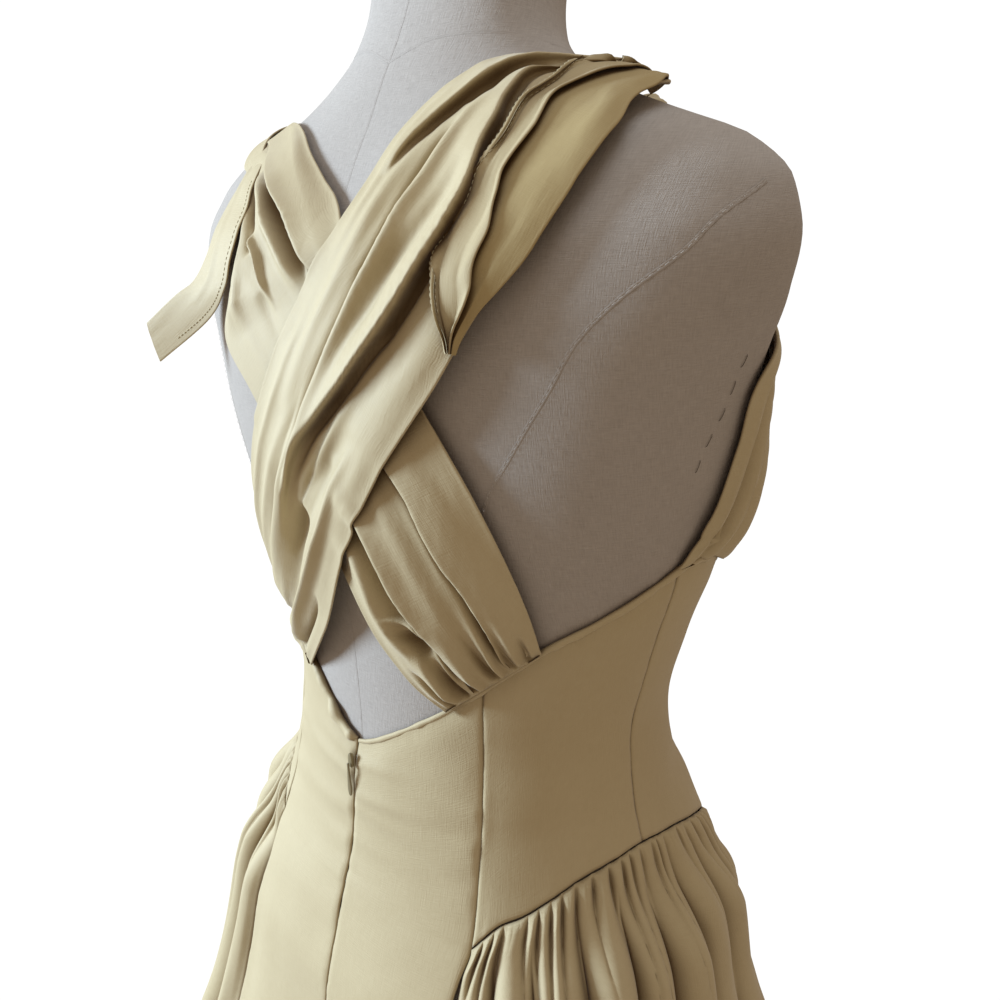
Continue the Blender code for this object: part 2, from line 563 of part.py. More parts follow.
def build():
    for obj in list(bpy.data.objects):
        bpy.data.objects.remove(obj)

    cloth = material('cloth', (0.52, 0.44, 0.27), 0.62)
    linen = material('linen', (0.50, 0.46, 0.41), 0.85)
    dark = material('cap', (0.03, 0.03, 0.035), 0.5)
    steel = material('steel', (0.16, 0.16, 0.17), 0.38, 1.0)
    zipmat = material('zip', (0.42, 0.36, 0.24), 0.4, 0.3)

    # dress form and stand
    verts, faces, ring = torso()
    add('form_torso', verts, faces, linen)
    verts, faces = neck_plate(ring)
    add('neck_cap', verts, faces, dark)
    floor = -WAIST_HEIGHT
    verts, faces = disc_stack([(3.2, FORM_END - 0.9), (4.6, FORM_END - 0.55), (4.6, FORM_END - 0.05)], 28)
    add('stand_collar', verts, faces, steel)
    verts, faces = disc_stack([(POLE_R, floor + BASE_T + 0.05), (POLE_R, FORM_END - 0.95)], 24)
    add('stand_pole', verts, faces, steel)
    verts, faces = disc_stack([(BASE_R - 0.25, floor), (BASE_R, floor + 0.2), (BASE_R, floor + 0.7),
                               (BASE_R - 0.5, floor + 1.1), (6.0, floor + 1.5), (2.2, floor + BASE_T)], 40)
    add('stand_base', verts, faces, steel)

    # bodice and skirt
    p, n = long_panel(np.linspace(0, 1, 7))
    p = draw_in(p)
    add('cb_panel_r', *wall(p, normals=n), cloth)
    add('cb_panel_l', *wall(mirrored(p), normals=mirrored(n)), cloth)

    p, n = long_panel(np.linspace(-1, 1, 11), front=True)
    add('cf_panel', *wall(draw_in(p), normals=n), cloth)

    for name, is_front in (('side_back', False), ('side_front', True)):
        p, n = side_panel(is_front)
        p = draw_in(p)
        add(name + '_r', *wall(p, normals=n), cloth)
        add(name + '_l', *wall(mirrored(p), normals=mirrored(n)), cloth)

    p, n = side_skirt(49, 10)
    p = draw_in(p, first_row=GATHER_GAP)
    nn = grid_normals(p)
    nn = np.where((nn * n).sum(-1, keepdims=True) < 0, -nn, nn)
    nn[0], nn[:, 0], nn[:, -1] = n[0], n[:, 0], n[:, -1]
    add('side_skirt_r', *wall(p, normals=nn), cloth)
    add('side_skirt_l', *wall(mirrored(p), normals=mirrored(nn)), cloth)

    # straps
    p, n = band(STRAP_UNDER, 9, 21, [(a, b, c * 0.5, d, e) for a, b, c, d, e in STRAP_FOLDS])
    under = draw_in(p, first_row=GATHER_GAP, first_col=0, last_col=0)
    add('strap_under', *wall(under), cloth)
    p, n = band(STRAP_OVER, 10, 23, STRAP_FOLDS)
    p = clear_of(p, 0.34, tree_of(under), reach=0.9)
    over = draw_in(p, first_row=GATHER_GAP, first_col=0, last_col=0)
    add('strap_over', *wall(over), cloth)

    # bust cups
    s = np.linspace(0, 1, 11) * CUP[-1, 0]
    c = [hermite(s, CUP[:, 0], CUP[:, i]) for i in range(1, 7)]
    uu = np.linspace(0, 1, 14)[None, :]
    phi = c[0][:, None] * (1 - uu) + c[3][:, None] * uu
    z = c[1][:, None] * (1 - uu) + c[4][:, None] * uu
    blend = np.clip(1 - s / 0.30, 0, 1)[:, None] ** 1.5
    z = z + blend * (top_edge(phi) + 0.15 - (c[1][0] * (1 - uu) + c[4][0] * uu))
    lift = c[2][:, None] * (1 - uu) + c[5][:, None] * uu
    h = np.zeros_like(phi)
    for place, half, high, best, reach in CUP_FOLDS:
        h += high * np.exp(-((uu - place) / half) ** 2) * np.exp(-2 * ((s[:, None] - best) / reach) ** 2)
    h *= (smooth(s / 0.12) * smooth((s[-1] - s) / 0.2))[:, None]
    p = on_form(phi, z, lift + h)
    n = outward(form_point, phi, z)
    p = draw_in(p, first_row=GATHER_GAP, first_col=0, last_col=0)
    g = grid_normals(p)
    g = np.where((g * n).sum(-1, keepdims=True) < 0, -g, g)
    g[0] = n[0]
    add('cup_r', *wall(p, normals=g), cloth)
    add('cup_l', *wall(mirrored(p), normals=mirrored(g)), cloth)

    # knots
    for side, name in ((1, 'knot_r'), (-1, 'knot_l')):
        c0 = on_form(np.array(KNOT['phi']), np.array(KNOT['z']), np.array(KNOT['lift']))
        e3 = outward(form_point, np.array(KNOT['phi']), np.array(KNOT['z']))
        e2 = np.cross(e3, [0, 1, 0])
        e2 /= np.linalg.norm(e2)
        e1 = np.cross(e2, e3)
        verts, faces = ellipsoid(c0, (e1, e2, e3), (KNOT['along'], KNOT['across'], KNOT['out']))
        verts[:, 0] *= side
        add(name, verts, faces, cloth)

    # tie ends
    t = np.linspace(0, 1, len(TIE_LEFT))
    s = np.linspace(0, 1, 21)
    e = np.stack([hermite(s, t, TIE_LEFT[:, i]) for i in range(6)], -1)
    w = np.linspace(0, 1, 4)[None, :, None]
    p = e[:, None, :3] * (1 - w) + e[:, None, 3:] * w
    below = tree_of(under)
    p = settle(p, lambda q: clear_of(clear_of_form(q, 0.46), 0.40, below, reach=1.0))
    add('tie_l', *wall(p, 0.2), cloth)
    t = np.linspace(0, 1, len(TIE_RIGHT))
    e = [hermite(s, t, TIE_RIGHT[:, i]) for i in range(5)]
    w = np.linspace(0, 1, 4)[None, :]
    p = on_form(e[0][:, None] * (1 - w) + e[2][:, None] * w, e[1][:, None] * (1 - w) + e[3][:, None] * w,
                e[4][:, None] + 0 * w)
    p = clear_of(p, 0.36, tree_of(over), reach=1.6)
    add('tie_r', *wall(p, 0.2), cloth)

    # zip: slider body at the top of the centre-back seam, pull hanging from it
    y0 = float(on_form(0.0, 0.9, EASE)[1])
    slider = [(-0.22, 0.0), (0.22, 0.0), (0.26, 0.45), (0.20, 0.85), (-0.20, 0.85), (-0.26, 0.45)]
    verts = [(x, y0 + 0.20, z + 0.70) for x, z in slider] + [(x, y0 + 0.42, z + 0.70) for x, z in slider]
    faces = [tuple(reversed(range(6))), tuple(range(6, 12))] + [(i, (i + 1) % 6, 6 + (i + 1) % 6, 6 + i) for i in range(6)]
    add('zip_slider', verts, faces, zipmat)
    outline = [(0.10, 0.0), (0.13, -0.5), (0.21, -1.15), (0.24, -1.60), (0.17, -1.95), (0.0, -2.08),
               (-0.17, -1.95), (-0.24, -1.60), (-0.21, -1.15), (-0.13, -0.5), (-0.10, 0.0)]
    y1 = y0 + 0.46
    hinge = (0.0, (y1 + 0.07) * 0.01, (WAIST_HEIGHT + 1.02) * 0.01)
    verts = ([(x, y1, 1.02 + z) for x, z in outline] + [(x, y1 + 0.14, 1.02 + z) for x, z in outline])
    k = len(outline)
    faces = [tuple(reversed(range(k))), tuple(range(k, 2 * k))] + [(i, (i + 1) % k, k + (i + 1) % k, k + i) for i in range(k)]
    add('zip_pull', verts, faces, zipmat, origin=hinge)


build()
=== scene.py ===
"""Looks of the midi dress with crossed back straps and of the dress form it stands on.

Lengths in the tables are centimetres and heights count from the waist line, which is 1.08 m above the floor.
phi is the angle round the body in degrees: centre back 0, the wearer's right side 90, centre front 180.
"""
import bpy
import bmesh
import math
import numpy as np
from mathutils import Matrix, Vector
from mathutils.bvhtree import BVHTree


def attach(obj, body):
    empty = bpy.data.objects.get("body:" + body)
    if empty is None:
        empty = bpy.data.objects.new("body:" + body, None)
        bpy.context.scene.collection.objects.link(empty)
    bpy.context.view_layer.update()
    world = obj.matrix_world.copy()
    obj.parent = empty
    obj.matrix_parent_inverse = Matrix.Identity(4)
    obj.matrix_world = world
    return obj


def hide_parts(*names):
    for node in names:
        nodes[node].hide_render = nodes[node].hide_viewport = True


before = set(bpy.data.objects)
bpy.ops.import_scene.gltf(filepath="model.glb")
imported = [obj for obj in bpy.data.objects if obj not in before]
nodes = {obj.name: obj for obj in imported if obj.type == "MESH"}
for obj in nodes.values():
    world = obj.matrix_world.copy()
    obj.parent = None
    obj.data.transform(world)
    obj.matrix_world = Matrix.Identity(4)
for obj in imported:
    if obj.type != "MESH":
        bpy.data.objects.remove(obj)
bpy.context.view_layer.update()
scene = bpy.context.scene
WAIST = 108.0
HEM = -78.0

# ------------------------------------------------------------------ camera, light, floor
cam = bpy.data.objects.new("camera", bpy.data.cameras.new("camera"))
scene.collection.objects.link(cam)
look = Vector((0.7000, -0.6487, -0.2988)).normalized()
right = Vector((-0.6866, -0.7263, -0.0317)).normalized()
up = right.cross(look).normalized()
right = look.cross(up)
cam.matrix_world = Matrix(((right.x, up.x, -look.x, -0.4168), (right.y, up.y, -look.y, 0.3610),
                           (right.z, up.z, -look.z, 1.3928), (0, 0, 0, 1)))
cam.data.sensor_width = 36.0
cam.data.lens = 35.73
cam.data.clip_start = 0.02
cam.data.clip_end = 100
scene.camera = cam
scene.view_settings.view_transform = "Standard"
scene.view_settings.look = "None"
scene.view_settings.exposure = 0.0
scene.view_settings.gamma = 1.0

world = bpy.data.worlds.new("world")
scene.world = world
world.use_nodes = True
wt = world.node_tree
bg = wt.nodes["Background"]
bg.inputs["Color"].default_value = (1.0, 0.80, 0.615, 1)
bg.inputs["Strength"].default_value = 0.385
white = wt.nodes.new("ShaderNodeBackground")
white.inputs["Color"].default_value = (1, 1, 1, 1)
white.inputs["Strength"].default_value = 1.05
path = wt.nodes.new("ShaderNodeLightPath")
mix = wt.nodes.new("ShaderNodeMixShader")
wt.links.new(path.outputs["Is Camera Ray"], mix.inputs[0])
wt.links.new(bg.outputs[0], mix.inputs[1])
wt.links.new(white.outputs[0], mix.inputs[2])
wt.links.new(mix.outputs[0], wt.nodes["World Output"].inputs["Surface"])


def area(name, place, target, size, power, color=(1, 1, 1)):
    d = bpy.data.lights.new(name, "AREA")
    d.shape = "DISK"
    d.size = size
    d.energy = power
    d.color = color
    o = bpy.data.objects.new(name, d)
    scene.collection.objects.link(o)
    o.location = place
    o.rotation_mode = "QUATERNION"
    o.rotation_quaternion = (Vector(target) - Vector(place)).to_track_quat("-Z", "Y")
    return o


area("key", (2.40, 1.95, 1.86), (0, 0, 1.15), 1.1, 178, (0.68, 0.84, 1.0))
area("sky", (-0.2, 0.2, 3.4), (0, 0, 1.2), 1.6, 15, (0.80, 0.90, 1.0))


# ------------------------------------------------------------------ numbers and noise
def smooth(t):
    t = np.clip(t, 0, 1)
    return t * t * (3 - 2 * t)


def hermite(x, xs, ys):
    """Smooth curve through the rows that keeps their rise and fall."""
    x = np.asarray(x, float)
    xs, ys = np.asarray(xs, float), np.asarray(ys, float)
    h = np.diff(xs)
    d = np.diff(ys) / h
    m = np.zeros(len(xs))
    for i in range(1, len(xs) - 1):
        if d[i - 1] * d[i] > 0:
            a, b = 2 * h[i] + h[i - 1], h[i] + 2 * h[i - 1]
            m[i] = (a + b) / (a / d[i - 1] + b / d[i])
    m[0], m[-1] = d[0], d[-1]
    k = np.clip(np.searchsorted(xs, x) - 1, 0, len(xs) - 2)
    t = (np.clip(x, xs[0], xs[-1]) - xs[k]) / h[k]
    t2, t3 = t * t, t * t * t
    return ((2 * t3 - 3 * t2 + 1) * ys[k] + (t3 - 2 * t2 + t) * h[k] * m[k]
            + (-2 * t3 + 3 * t2) * ys[k + 1] + (t3 - t2) * h[k] * m[k + 1])


def catmull(x, xs, ys):
    """Smooth curve through the rows, rounder than hermite."""
    x, xs, ys = np.asarray(x, float), np.asarray(xs, float), np.asarray(ys, float)
    m = np.gradient(ys, xs)
    h = np.diff(xs)
    k = np.clip(np.searchsorted(xs, x) - 1, 0, len(xs) - 2)
    t = (np.clip(x, xs[0], xs[-1]) - xs[k]) / h[k]
    t2, t3 = t * t, t * t * t
    return ((2 * t3 - 3 * t2 + 1) * ys[k] + (t3 - 2 * t2 + t) * h[k] * m[k]
            + (-2 * t3 + 3 * t2) * ys[k + 1] + (t3 - t2) * h[k] * m[k + 1])


def noise2(x, y, seed=0):
    """Smooth noise from -1 to 1."""
    x, y = np.broadcast_arrays(np.asarray(x, float), np.asarray(y, float))
    xi, yi = np.floor(x).astype(np.int64), np.floor(y).astype(np.int64)
    fx, fy = x - xi, y - yi
    fx = fx * fx * fx * (fx * (fx * 6 - 15) + 10)
    fy = fy * fy * fy * (fy * (fy * 6 - 15) + 10)

    def corner(i, j):
        n = (i * 374761393 + j * 668265263 + seed * 69069) & 0xFFFFFFFF
        n = ((n ^ (n >> 13)) * 1274126177) & 0xFFFFFFFF
        return ((n ^ (n >> 16)) & 0xFFFF) / 32767.5 - 1
    a, b = corner(xi, yi), corner(xi + 1, yi)
    c, d = corner(xi, yi + 1), corner(xi + 1, yi + 1)
    return (a * (1 - fx) + b * fx) * (1 - fy) + (c * (1 - fx) + d * fx) * fy


def rough2(x, y, seed=0, octaves=3):
    out, amp, total = 0.0, 1.0, 0.0
    for i in range(octaves):
        out = out + amp * noise2(x * 2 ** i, y * 2 ** i, seed + 17 * i)
        total += amp
        amp *= 0.5
    return out / total


# ------------------------------------------------------------------ the body and the cut, as in the solids
FORM = np.array([  # height, half width, depth behind, depth in front, roundness behind, in front
    (-27.3, 16.4, 11.8, 10.6, 2.2, 2.2), (-21.0, 17.2, 12.8, 11.4, 2.2, 2.2), (-14.7, 17.3, 12.5, 12.0, 2.2, 2.2),
    (-8.4, 15.7, 11.0, 11.9, 2.2, 2.2), (-3.2, 13.6, 9.4, 10.9, 2.15, 2.15), (0.0, 12.65, 9.0, 9.4, 2.1, 2.1),
    (3.5, 12.3, 8.6, 8.8, 2.1, 2.1), (8.7, 13.5, 8.7, 8.8, 2.2, 2.2), (13.9, 15.3, 9.4, 9.1, 2.3, 2.2),
    (19.1, 17.1, 9.7, 8.6, 2.4, 2.2), (23.5, 18.3, 9.5, 7.4, 2.5, 2.2), (26.9, 19.7, 8.9, 6.2, 2.6, 2.2),
    (29.5, 20.3, 8.1, 5.0, 2.5, 2.2), (31.4, 19.9, 7.0, 4.1, 2.3, 2.1), (33.0, 18.1, 6.2, 3.6, 2.1, 2.0),
    (34.4, 14.1, 5.4, 3.7, 2.0, 2.0), (35.6, 10.7, 4.8, 4.0, 2.0, 2.0), (36.8, 8.3, 4.2, 4.5, 2.0, 2.0),
    (38.2, 6.6, 3.4, 5.4, 2.0, 2.0), (40.4, 5.6, 2.4, 6.5, 2.0, 2.0), (44.3, 5.1, 1.5, 8.0, 2.0, 2.0)])
BUST = dict(x=9.0, z=17.3, push=3.8, wide=5.5, above=7.9, below=5.0)
BLADE = dict(x=7.9, z=27.3, push=0.75, wide=4.7, tall=8.4)
NECK_CUT = (43.2, 0.42)
FORM_END = -27.0
FORM_ROUND = ((-27.0, 0.88), (-26.4, 0.95), (-25.3, 0.985))
TOP_EDGE = np.array([
    (0, 2.1), (6, 2.4), (23.8, 4.0), (42.5, 6.3), (55.5, 8.6), (64.2, 10.4), (73.2, 11.9), (83.2, 13.4),
    (91.5, 14.3), (100, 13.7), (115, 11.9), (135, 10.2), (160, 10.0), (180, 11.0)])
LOW_EDGE = np.array([
    (45.8, -6.5), (53.0, -5.1), (57.8, -4.6), (64.5, -3.7), (70.8, -2.9), (78.0, -2.4), (86.5, -2.1),
    (97.0, -2.4), (108.0, -3.2), (119.0, -4.4), (134.2, -6.5)])
GORE_SEAM = np.array([
    (-78.0, 41.5), (-60.0, 40.2), (-40.0, 39.0), (-20.0, 38.6), (-12.3, 39.7), (-9.3, 40.8),
    (-8.0, 42.6), (-6.5, 45.8), (-5.1, 47.0), (-3.0, 48.2), (0.3, 49.8), (3.7, 50.8), (7.8, 51.2), (20.0, 51.4)])
SIDE_SEAM = 88.0
CORNER = -6.5
SKIRT = np.array([
    (-78.0, 37.0, 31.5, 31.5, 2.15, 2.1), (-60.0, 32.0, 26.5, 27.0, 2.25, 2.1), (-40.0, 26.0, 20.8, 21.4, 2.45, 2.1),
    (-27.0, 22.0, 16.6, 17.4, 2.7, 2.1), (-21.0, 19.4, 14.5, 15.0, 2.8, 2.1), (-15.0, 17.7, 13.0, 13.5, 2.8, 2.1),
    (-12.0, 16.9, 12.45, 12.9, 2.8, 2.1), (-8.4, 16.4, 11.35, 12.9, 2.7, 2.1), (-6.5, 16.0, 10.8, 12.6, 2.55, 2.1),
    (-4.0, 14.9, 10.0, 12.0, 2.4, 2.1), (-2.0, 13.6, 9.6, 11.2, 2.2, 2.1)])
SKIRT_FOLDS = [  # place round the panel 0-1, half width, height at the hem, drift of the place
    (0.045, 0.040, 2.6, 0.000), (0.135, 0.048, 3.4, 0.012), (0.232, 0.042, 2.4, -0.008),
    (0.318, 0.044, 3.6, 0.010), (0.415, 0.050, 2.8, 0.006), (0.512, 0.044, 3.5, -0.010),
    (0.605, 0.046, 2.5, 0.008), (0.702, 0.048, 3.4, -0.006), (0.795, 0.042, 2.7, 0.010),
    (0.880, 0.044, 3.2, -0.012), (0.958, 0.038, 2.4, 0.000)]
# straps: share of the length, then phi, height and lift of the outer edge and of the inner edge
STRAP_OVER = np.array([
    (0.000, -31.0, 5.0, 0.35, -60.0, 9.7, 0.35), (0.065, -17.0, 6.9, 0.85, -50.0, 12.6, 0.40),
    (0.140, -3.0, 9.4, 1.25, -41.0, 15.8, 0.42), (0.215, 9.5, 12.2, 1.50, -31.5, 18.6, 0.55),
    (0.300, 22.5, 15.7, 1.65, -22.0, 21.0, 0.80), (0.380, 33.0, 19.0, 1.45, -10.0, 24.2, 0.95),
    (0.460, 44.0, 22.6, 1.15, 4.2, 27.4, 0.95), (0.545, 52.8, 26.1, 0.80, 16.0, 29.8, 0.80),
    (0.625, 60.0, 28.8, 0.65, 24.5, 32.0, 0.60), (0.710, 67.0, 31.1, 0.60, 38.0, 34.1, 0.50),
    (0.800, 74.0, 33.1, 0.58, 54.0, 35.6, 0.45), (0.885, 80.5, 34.1, 0.55, 70.0, 36.3, 0.45),
    (0.945, 87.0, 34.6, 0.60, 85.0, 35.9, 0.55), (1.000, 97.5, 34.7, 0.95, 101.0, 35.4, 0.90)])
STRAP_UNDER = np.array([
    (0.000, 63.5, 10.40, 0.35, 41.5, 6.20, 0.35),
    (0.060, 60.8, 12.6, 0.38, 34.0, 7.9, 1.05),
    (0.125, 57.5, 14.8, 0.40, 25.0, 10.2, 1.30),
    (0.195, 53.0, 17.4, 0.40, 16.0, 13.0, 1.15),
    (0.270, 47.5, 20.1, 0.40, 5.0, 15.5, 0.75),
    (0.345, 40.0, 22.9, 0.40, -8.0, 17.6, 0.55),
    (0.420, 30.0, 25.6, 0.42, -18.0, 19.4, 0.50),
    (0.490, 20.0, 28.0, 0.42, -28.0, 21.7, 0.55),
    (0.560, 7.0, 30.3, 0.28, -37.5, 23.9, 0.62),
    (0.635, -12.0, 31.85, 0.24, -37.0, 26.2, 0.60),
    (0.710, -30.0, 33.15, 0.20, -38.5, 28.8, 0.50),
    (0.785, -47.5, 34.3, 0.18, -50.0, 31.1, 0.36),
    (0.870, -63.0, 34.85, 0.16, -62.0, 32.7, 0.26),
    (0.935, -81.0, 35.0, 0.20, -79.0, 33.6, 0.26),
    (1.000, -101.0, 35.1, 0.85, -97.5, 34.5, 0.88)])
CUP = np.array([  # share of the length, armhole edge phi, height, lift, neck edge phi, height, lift
    (0.00, 87.4, 13.7, 0.45, 178.6, 11.3, 0.45), (0.16, 90.6, 16.6, 0.70, 177.6, 14.0, 0.80),
    (0.32, 91.6, 20.2, 0.66, 168.0, 18.0, 0.75), (0.47, 94.0, 23.7, 0.60, 154.0, 22.0, 0.65),
    (0.55, 102.0, 25.3, 0.60, 147.0, 23.8, 0.62), (0.63, 110.5, 27.1, 0.60, 140.0, 25.7, 0.60),
    (0.76, 111.5, 29.8, 0.60, 131.0, 28.9, 0.60), (0.88, 108.5, 31.8, 0.75, 120.0, 31.5, 0.75),
    (0.95, 105.5, 33.0, 0.95, 113.0, 32.9, 0.95)])
KNOT = dict(phi=106.2, z=34.0, lift=1.15)
TIE_LEFT = np.array([  # x, y, height of the edge by the neck, then of the outer edge
    (12.2, -3.1, 34.2, 13.1, -3.5, 33.4),
    (12.4, -0.6, 33.6, 13.5, -0.8, 33.0),
    (11.8, 2.0, 33.3, 13.2, 2.0, 32.7),
    (10.4, 4.4, 33.2, 12.2, 4.6, 32.5),
    (8.9, 6.1, 33.0, 11.2, 5.7, 32.5),
    (7.9, 7.5, 31.9, 11.3, 6.4, 31.8),
    (7.1, 8.4, 30.8, 11.5, 7.1, 30.8),
    (6.8, 9.3, 29.6, 11.3, 8.1, 29.6),
    (7.0, 9.8, 28.2, 11.0, 9.0, 28.2),
    (7.7, 9.9, 26.7, 11.5, 9.7, 26.9),
    (10.0, 9.9, 24.9, 12.6, 10.3, 26.1),
    (13.8, 11.3, 22.4, 14.6, 11.3, 24.5)])
TIE_RIGHT = np.array([  # phi and height of the inner edge, of the outer edge, lift
    (98.5, 35.2, 98.0, 34.7, 1.30), (89.5, 35.3, 90.0, 34.6, 1.00), (81.0, 35.4, 85.0, 34.4, 0.90),
    (74.5, 34.9, 78.5, 33.8, 0.98), (67.0, 33.8, 73.5, 32.8, 0.98), (59.5, 32.1, 69.0, 31.7, 1.00),
    (54.3, 30.5, 64.5, 30.1, 1.02), (50.2, 28.9, 60.0, 28.6, 1.05), (48.0, 27.3, 56.0, 27.0, 1.12),
    (49.0, 25.7, 52.5, 25.5, 1.25), (50.2, 24.9, 51.0, 24.7, 1.35)])


def section(table, phi, z):
    phi, z = np.broadcast_arrays(np.asarray(phi, float), np.asarray(z, float))
    w, b, f, nb, nf = (hermite(z, table[:, 0], table[:, i]) for i in range(1, 6))
    s, c = -np.sin(np.radians(phi)), np.cos(np.radians(phi))
    n = np.where(c > 0, nb, nf)
    d = np.where(c > 0, b, f)
    return (np.abs(s / w) ** n + np.abs(c / d) ** n) ** (-1 / n), s, c, z


def form_point(phi, z):
    r, s, c, z = section(FORM, phi, z)
    x = np.abs(r * s)
    tall = np.where(z > BUST["z"], BUST["above"], BUST["below"])
    g = np.exp(-((x - BUST["x"]) / BUST["wide"]) ** 2 - ((z - BUST["z"]) / tall) ** 2)
    r = r + BUST["push"] * g * np.clip(-c, 0, 1) ** 0.6
    g = np.exp(-((x - BLADE["x"]) / BLADE["wide"]) ** 2 - ((z - BLADE["z"]) / BLADE["tall"]) ** 2)
    r = r + BLADE["push"] * g * np.clip(c, 0, 1)
    return np.stack([r * s, r * c, z], -1)


def outward(fn, phi, z):
    e = 0.05
    a = fn(phi + e * 8, z) - fn(phi - e * 8, z)
    b = fn(phi, z + e) - fn(phi, z - e)
    n = np.cross(a, b)
    return n / np.linalg.norm(n, axis=-1, keepdims=True)


def on_form(phi, z, lift):
    phi, z, lift = np.broadcast_arrays(np.asarray(phi, float), np.asarray(z, float), np.asarray(lift, float))
    return form_point(phi, z) + outward(form_point, phi, z) * lift[..., None]


def skirt_point(phi, z):
    r, s, c, z = section(SKIRT, phi, z)
    return np.stack([r * s, r * c, z], -1)


def below_waist(phi, z, z_top, ease=0.36):
    near = on_form(phi, np.maximum(z, FORM_END), ease)
    far = skirt_point(phi, z)
    near = np.stack([near[..., 0], near[..., 1], np.broadcast_to(z, near[..., 2].shape)], -1)
    k = 1 - np.exp(-np.maximum(z_top - z, 0) / 3.2)
    k = np.where(z < FORM_END + 3, 1.0, k)
    return near + (far - near) * k[..., None]


def top_edge(phi):
    phi = (np.asarray(phi, float) + 180.0) % 360.0 - 180.0
    return hermite(np.abs(phi), TOP_EDGE[:, 0], TOP_EDGE[:, 1])


def low_edge(phi):
    return hermite(phi, LOW_EDGE[:, 0], LOW_EDGE[:, 1])


def gore_phi(z):
    return hermite(z, GORE_SEAM[:, 0], GORE_SEAM[:, 1])


def grid_normals(p, reference=None):
    n = np.cross(np.gradient(p, axis=0), np.gradient(p, axis=1))
    n = n / np.maximum(np.linalg.norm(n, axis=-1, keepdims=True), 1e-9)
    if reference is not None and np.median((n * reference).sum(-1)) < 0:
        n = -n
    return n


def tree_of(p, closed=False):
    n, m = p.shape[:2]
    last = m if closed else m - 1
    quads = [(i * m + j, i * m + (j + 1) % m, (i + 1) * m + (j + 1) % m, (i + 1) * m + j)
             for i in range(n - 1) for j in range(last)]
    return BVHTree.FromPolygons([tuple(v) for v in p.reshape(-1, 3)], quads)


phi_ = np.linspace(-180, 180, 181)[:-1]
z_ = np.linspace(-27, 44, 178)
FORM_TREE = tree_of(form_point(phi_[None, :], z_[:, None]), closed=True)


def clear_of(p, lift, tree, sign=1.0, soft=0.25, reach=None, limit=1.2):
    """Moves points that are nearer a surface than lift out to that height."""
    q = p.reshape(-1, 3).copy()
    want = np.broadcast_to(np.asarray(lift, float), p.shape[:-1]).reshape(-1)
    for i, v in enumerate(q):
        loc, nrm, _, dist = tree.find_nearest(tuple(v))
        out = np.array(nrm) * sign
        h = float((v - np.array(loc)) @ out)
        if h >= want[i] + limit:
            continue
        k = 1.0
        if reach is not None:
            k = float(smooth(1 - math.sqrt(max(dist * dist - h * h, 0.0)) / reach))
        h2 = want[i] + soft * math.log1p(math.exp(min(max((h - want[i]) / soft, -30), 30)))
        q[i] = v + out * (h2 - h) * k
    return q.reshape(p.shape)


def blur(d, axis, times=1):
    for _ in range(times):
        e = np.concatenate([np.take(d, [0], axis), d, np.take(d, [-1], axis)], axis)
        d = 0.5 * d + 0.25 * (np.delete(e, [0, 1], axis) + np.delete(e, [-1, -2], axis))
    return d


def settle(p, clear, rounds=5, rows=14, cols=6):
    """Lays a strip clear of what it crosses in soft steps, so that it doesn't crease."""
    for k in range(rounds):
        d = clear(p) - p
        p = p + blur(blur(d, 0, rows), 1, cols) * 1.25
    return p


# ------------------------------------------------------------------ meshes from grids
def arc(p, axis):
    d = np.linalg.norm(np.diff(p, axis=axis), axis=-1)
    pad = [(0, 0), (0, 0)]
    pad[axis] = (1, 0)
    return np.pad(np.cumsum(d, axis=axis), pad)


def metres(p):
    return p * 0.01 + np.array([0, 0, WAIST * 0.01])


def roll(p, n, axis, end, r=0.09, back=0.55):
    """Turns a grid's edge under, as a sewn edge is, with a rounded fold and a strip behind it."""
    p = np.moveaxis(p, axis, 0)
    n = np.moveaxis(n, axis, 0)
    if end:
        p, n = p[::-1], n[::-1]
    t = p[0] - p[1]
    t = t - (t * n[0]).sum(-1, keepdims=True) * n[0]
    t /= np.maximum(np.linalg.norm(t, axis=-1, keepdims=True), 1e-9)
    add, addn = [], []
    for a in (30, 60, 90, 125, 160):
        a = math.radians(a)
        add.append(p[0] + t * r * math.sin(a) - n[0] * r * (1 - math.cos(a)))
        addn.append(n[0] * math.cos(a) + t * math.sin(a))
    add.append(p[0] - t * back - n[0] * (2.0 * r + 0.02))
    addn.append(-n[0])
    q = np.concatenate([np.array(add)[::-1], p])
    m = np.concatenate([np.array(addn)[::-1], n])
    if end:
        q, m = q[::-1], m[::-1]
    return np.moveaxis(q, 0, axis), np.moveaxis(m, 0, axis)


def tuck(p, n, axis, end, depth=0.34):
    """Carries a sewn edge on inward, as its seam allowance does, so that no seam gapes."""
    p = np.moveaxis(p, axis, 0)
    n = np.moveaxis(n, axis, 0)
    if end:
        p, n = p[::-1], n[::-1]
    t = p[1] - p[0]
    t /= np.maximum(np.linalg.norm(t, axis=-1, keepdims=True), 1e-9)
    add = np.array([p[0] - n[0] * depth + t * 0.10, p[0] - n[0] * depth * 0.55 + t * 0.015, p[0] - n[0] * depth * 0.18 - t * 0.012])
    q = np.concatenate([add, p])
    m = np.concatenate([np.repeat(n[:1], 3, 0), n])
    if end:
        q, m = q[::-1], m[::-1]
    return np.moveaxis(q, 0, axis), np.moveaxis(m, 0, axis)


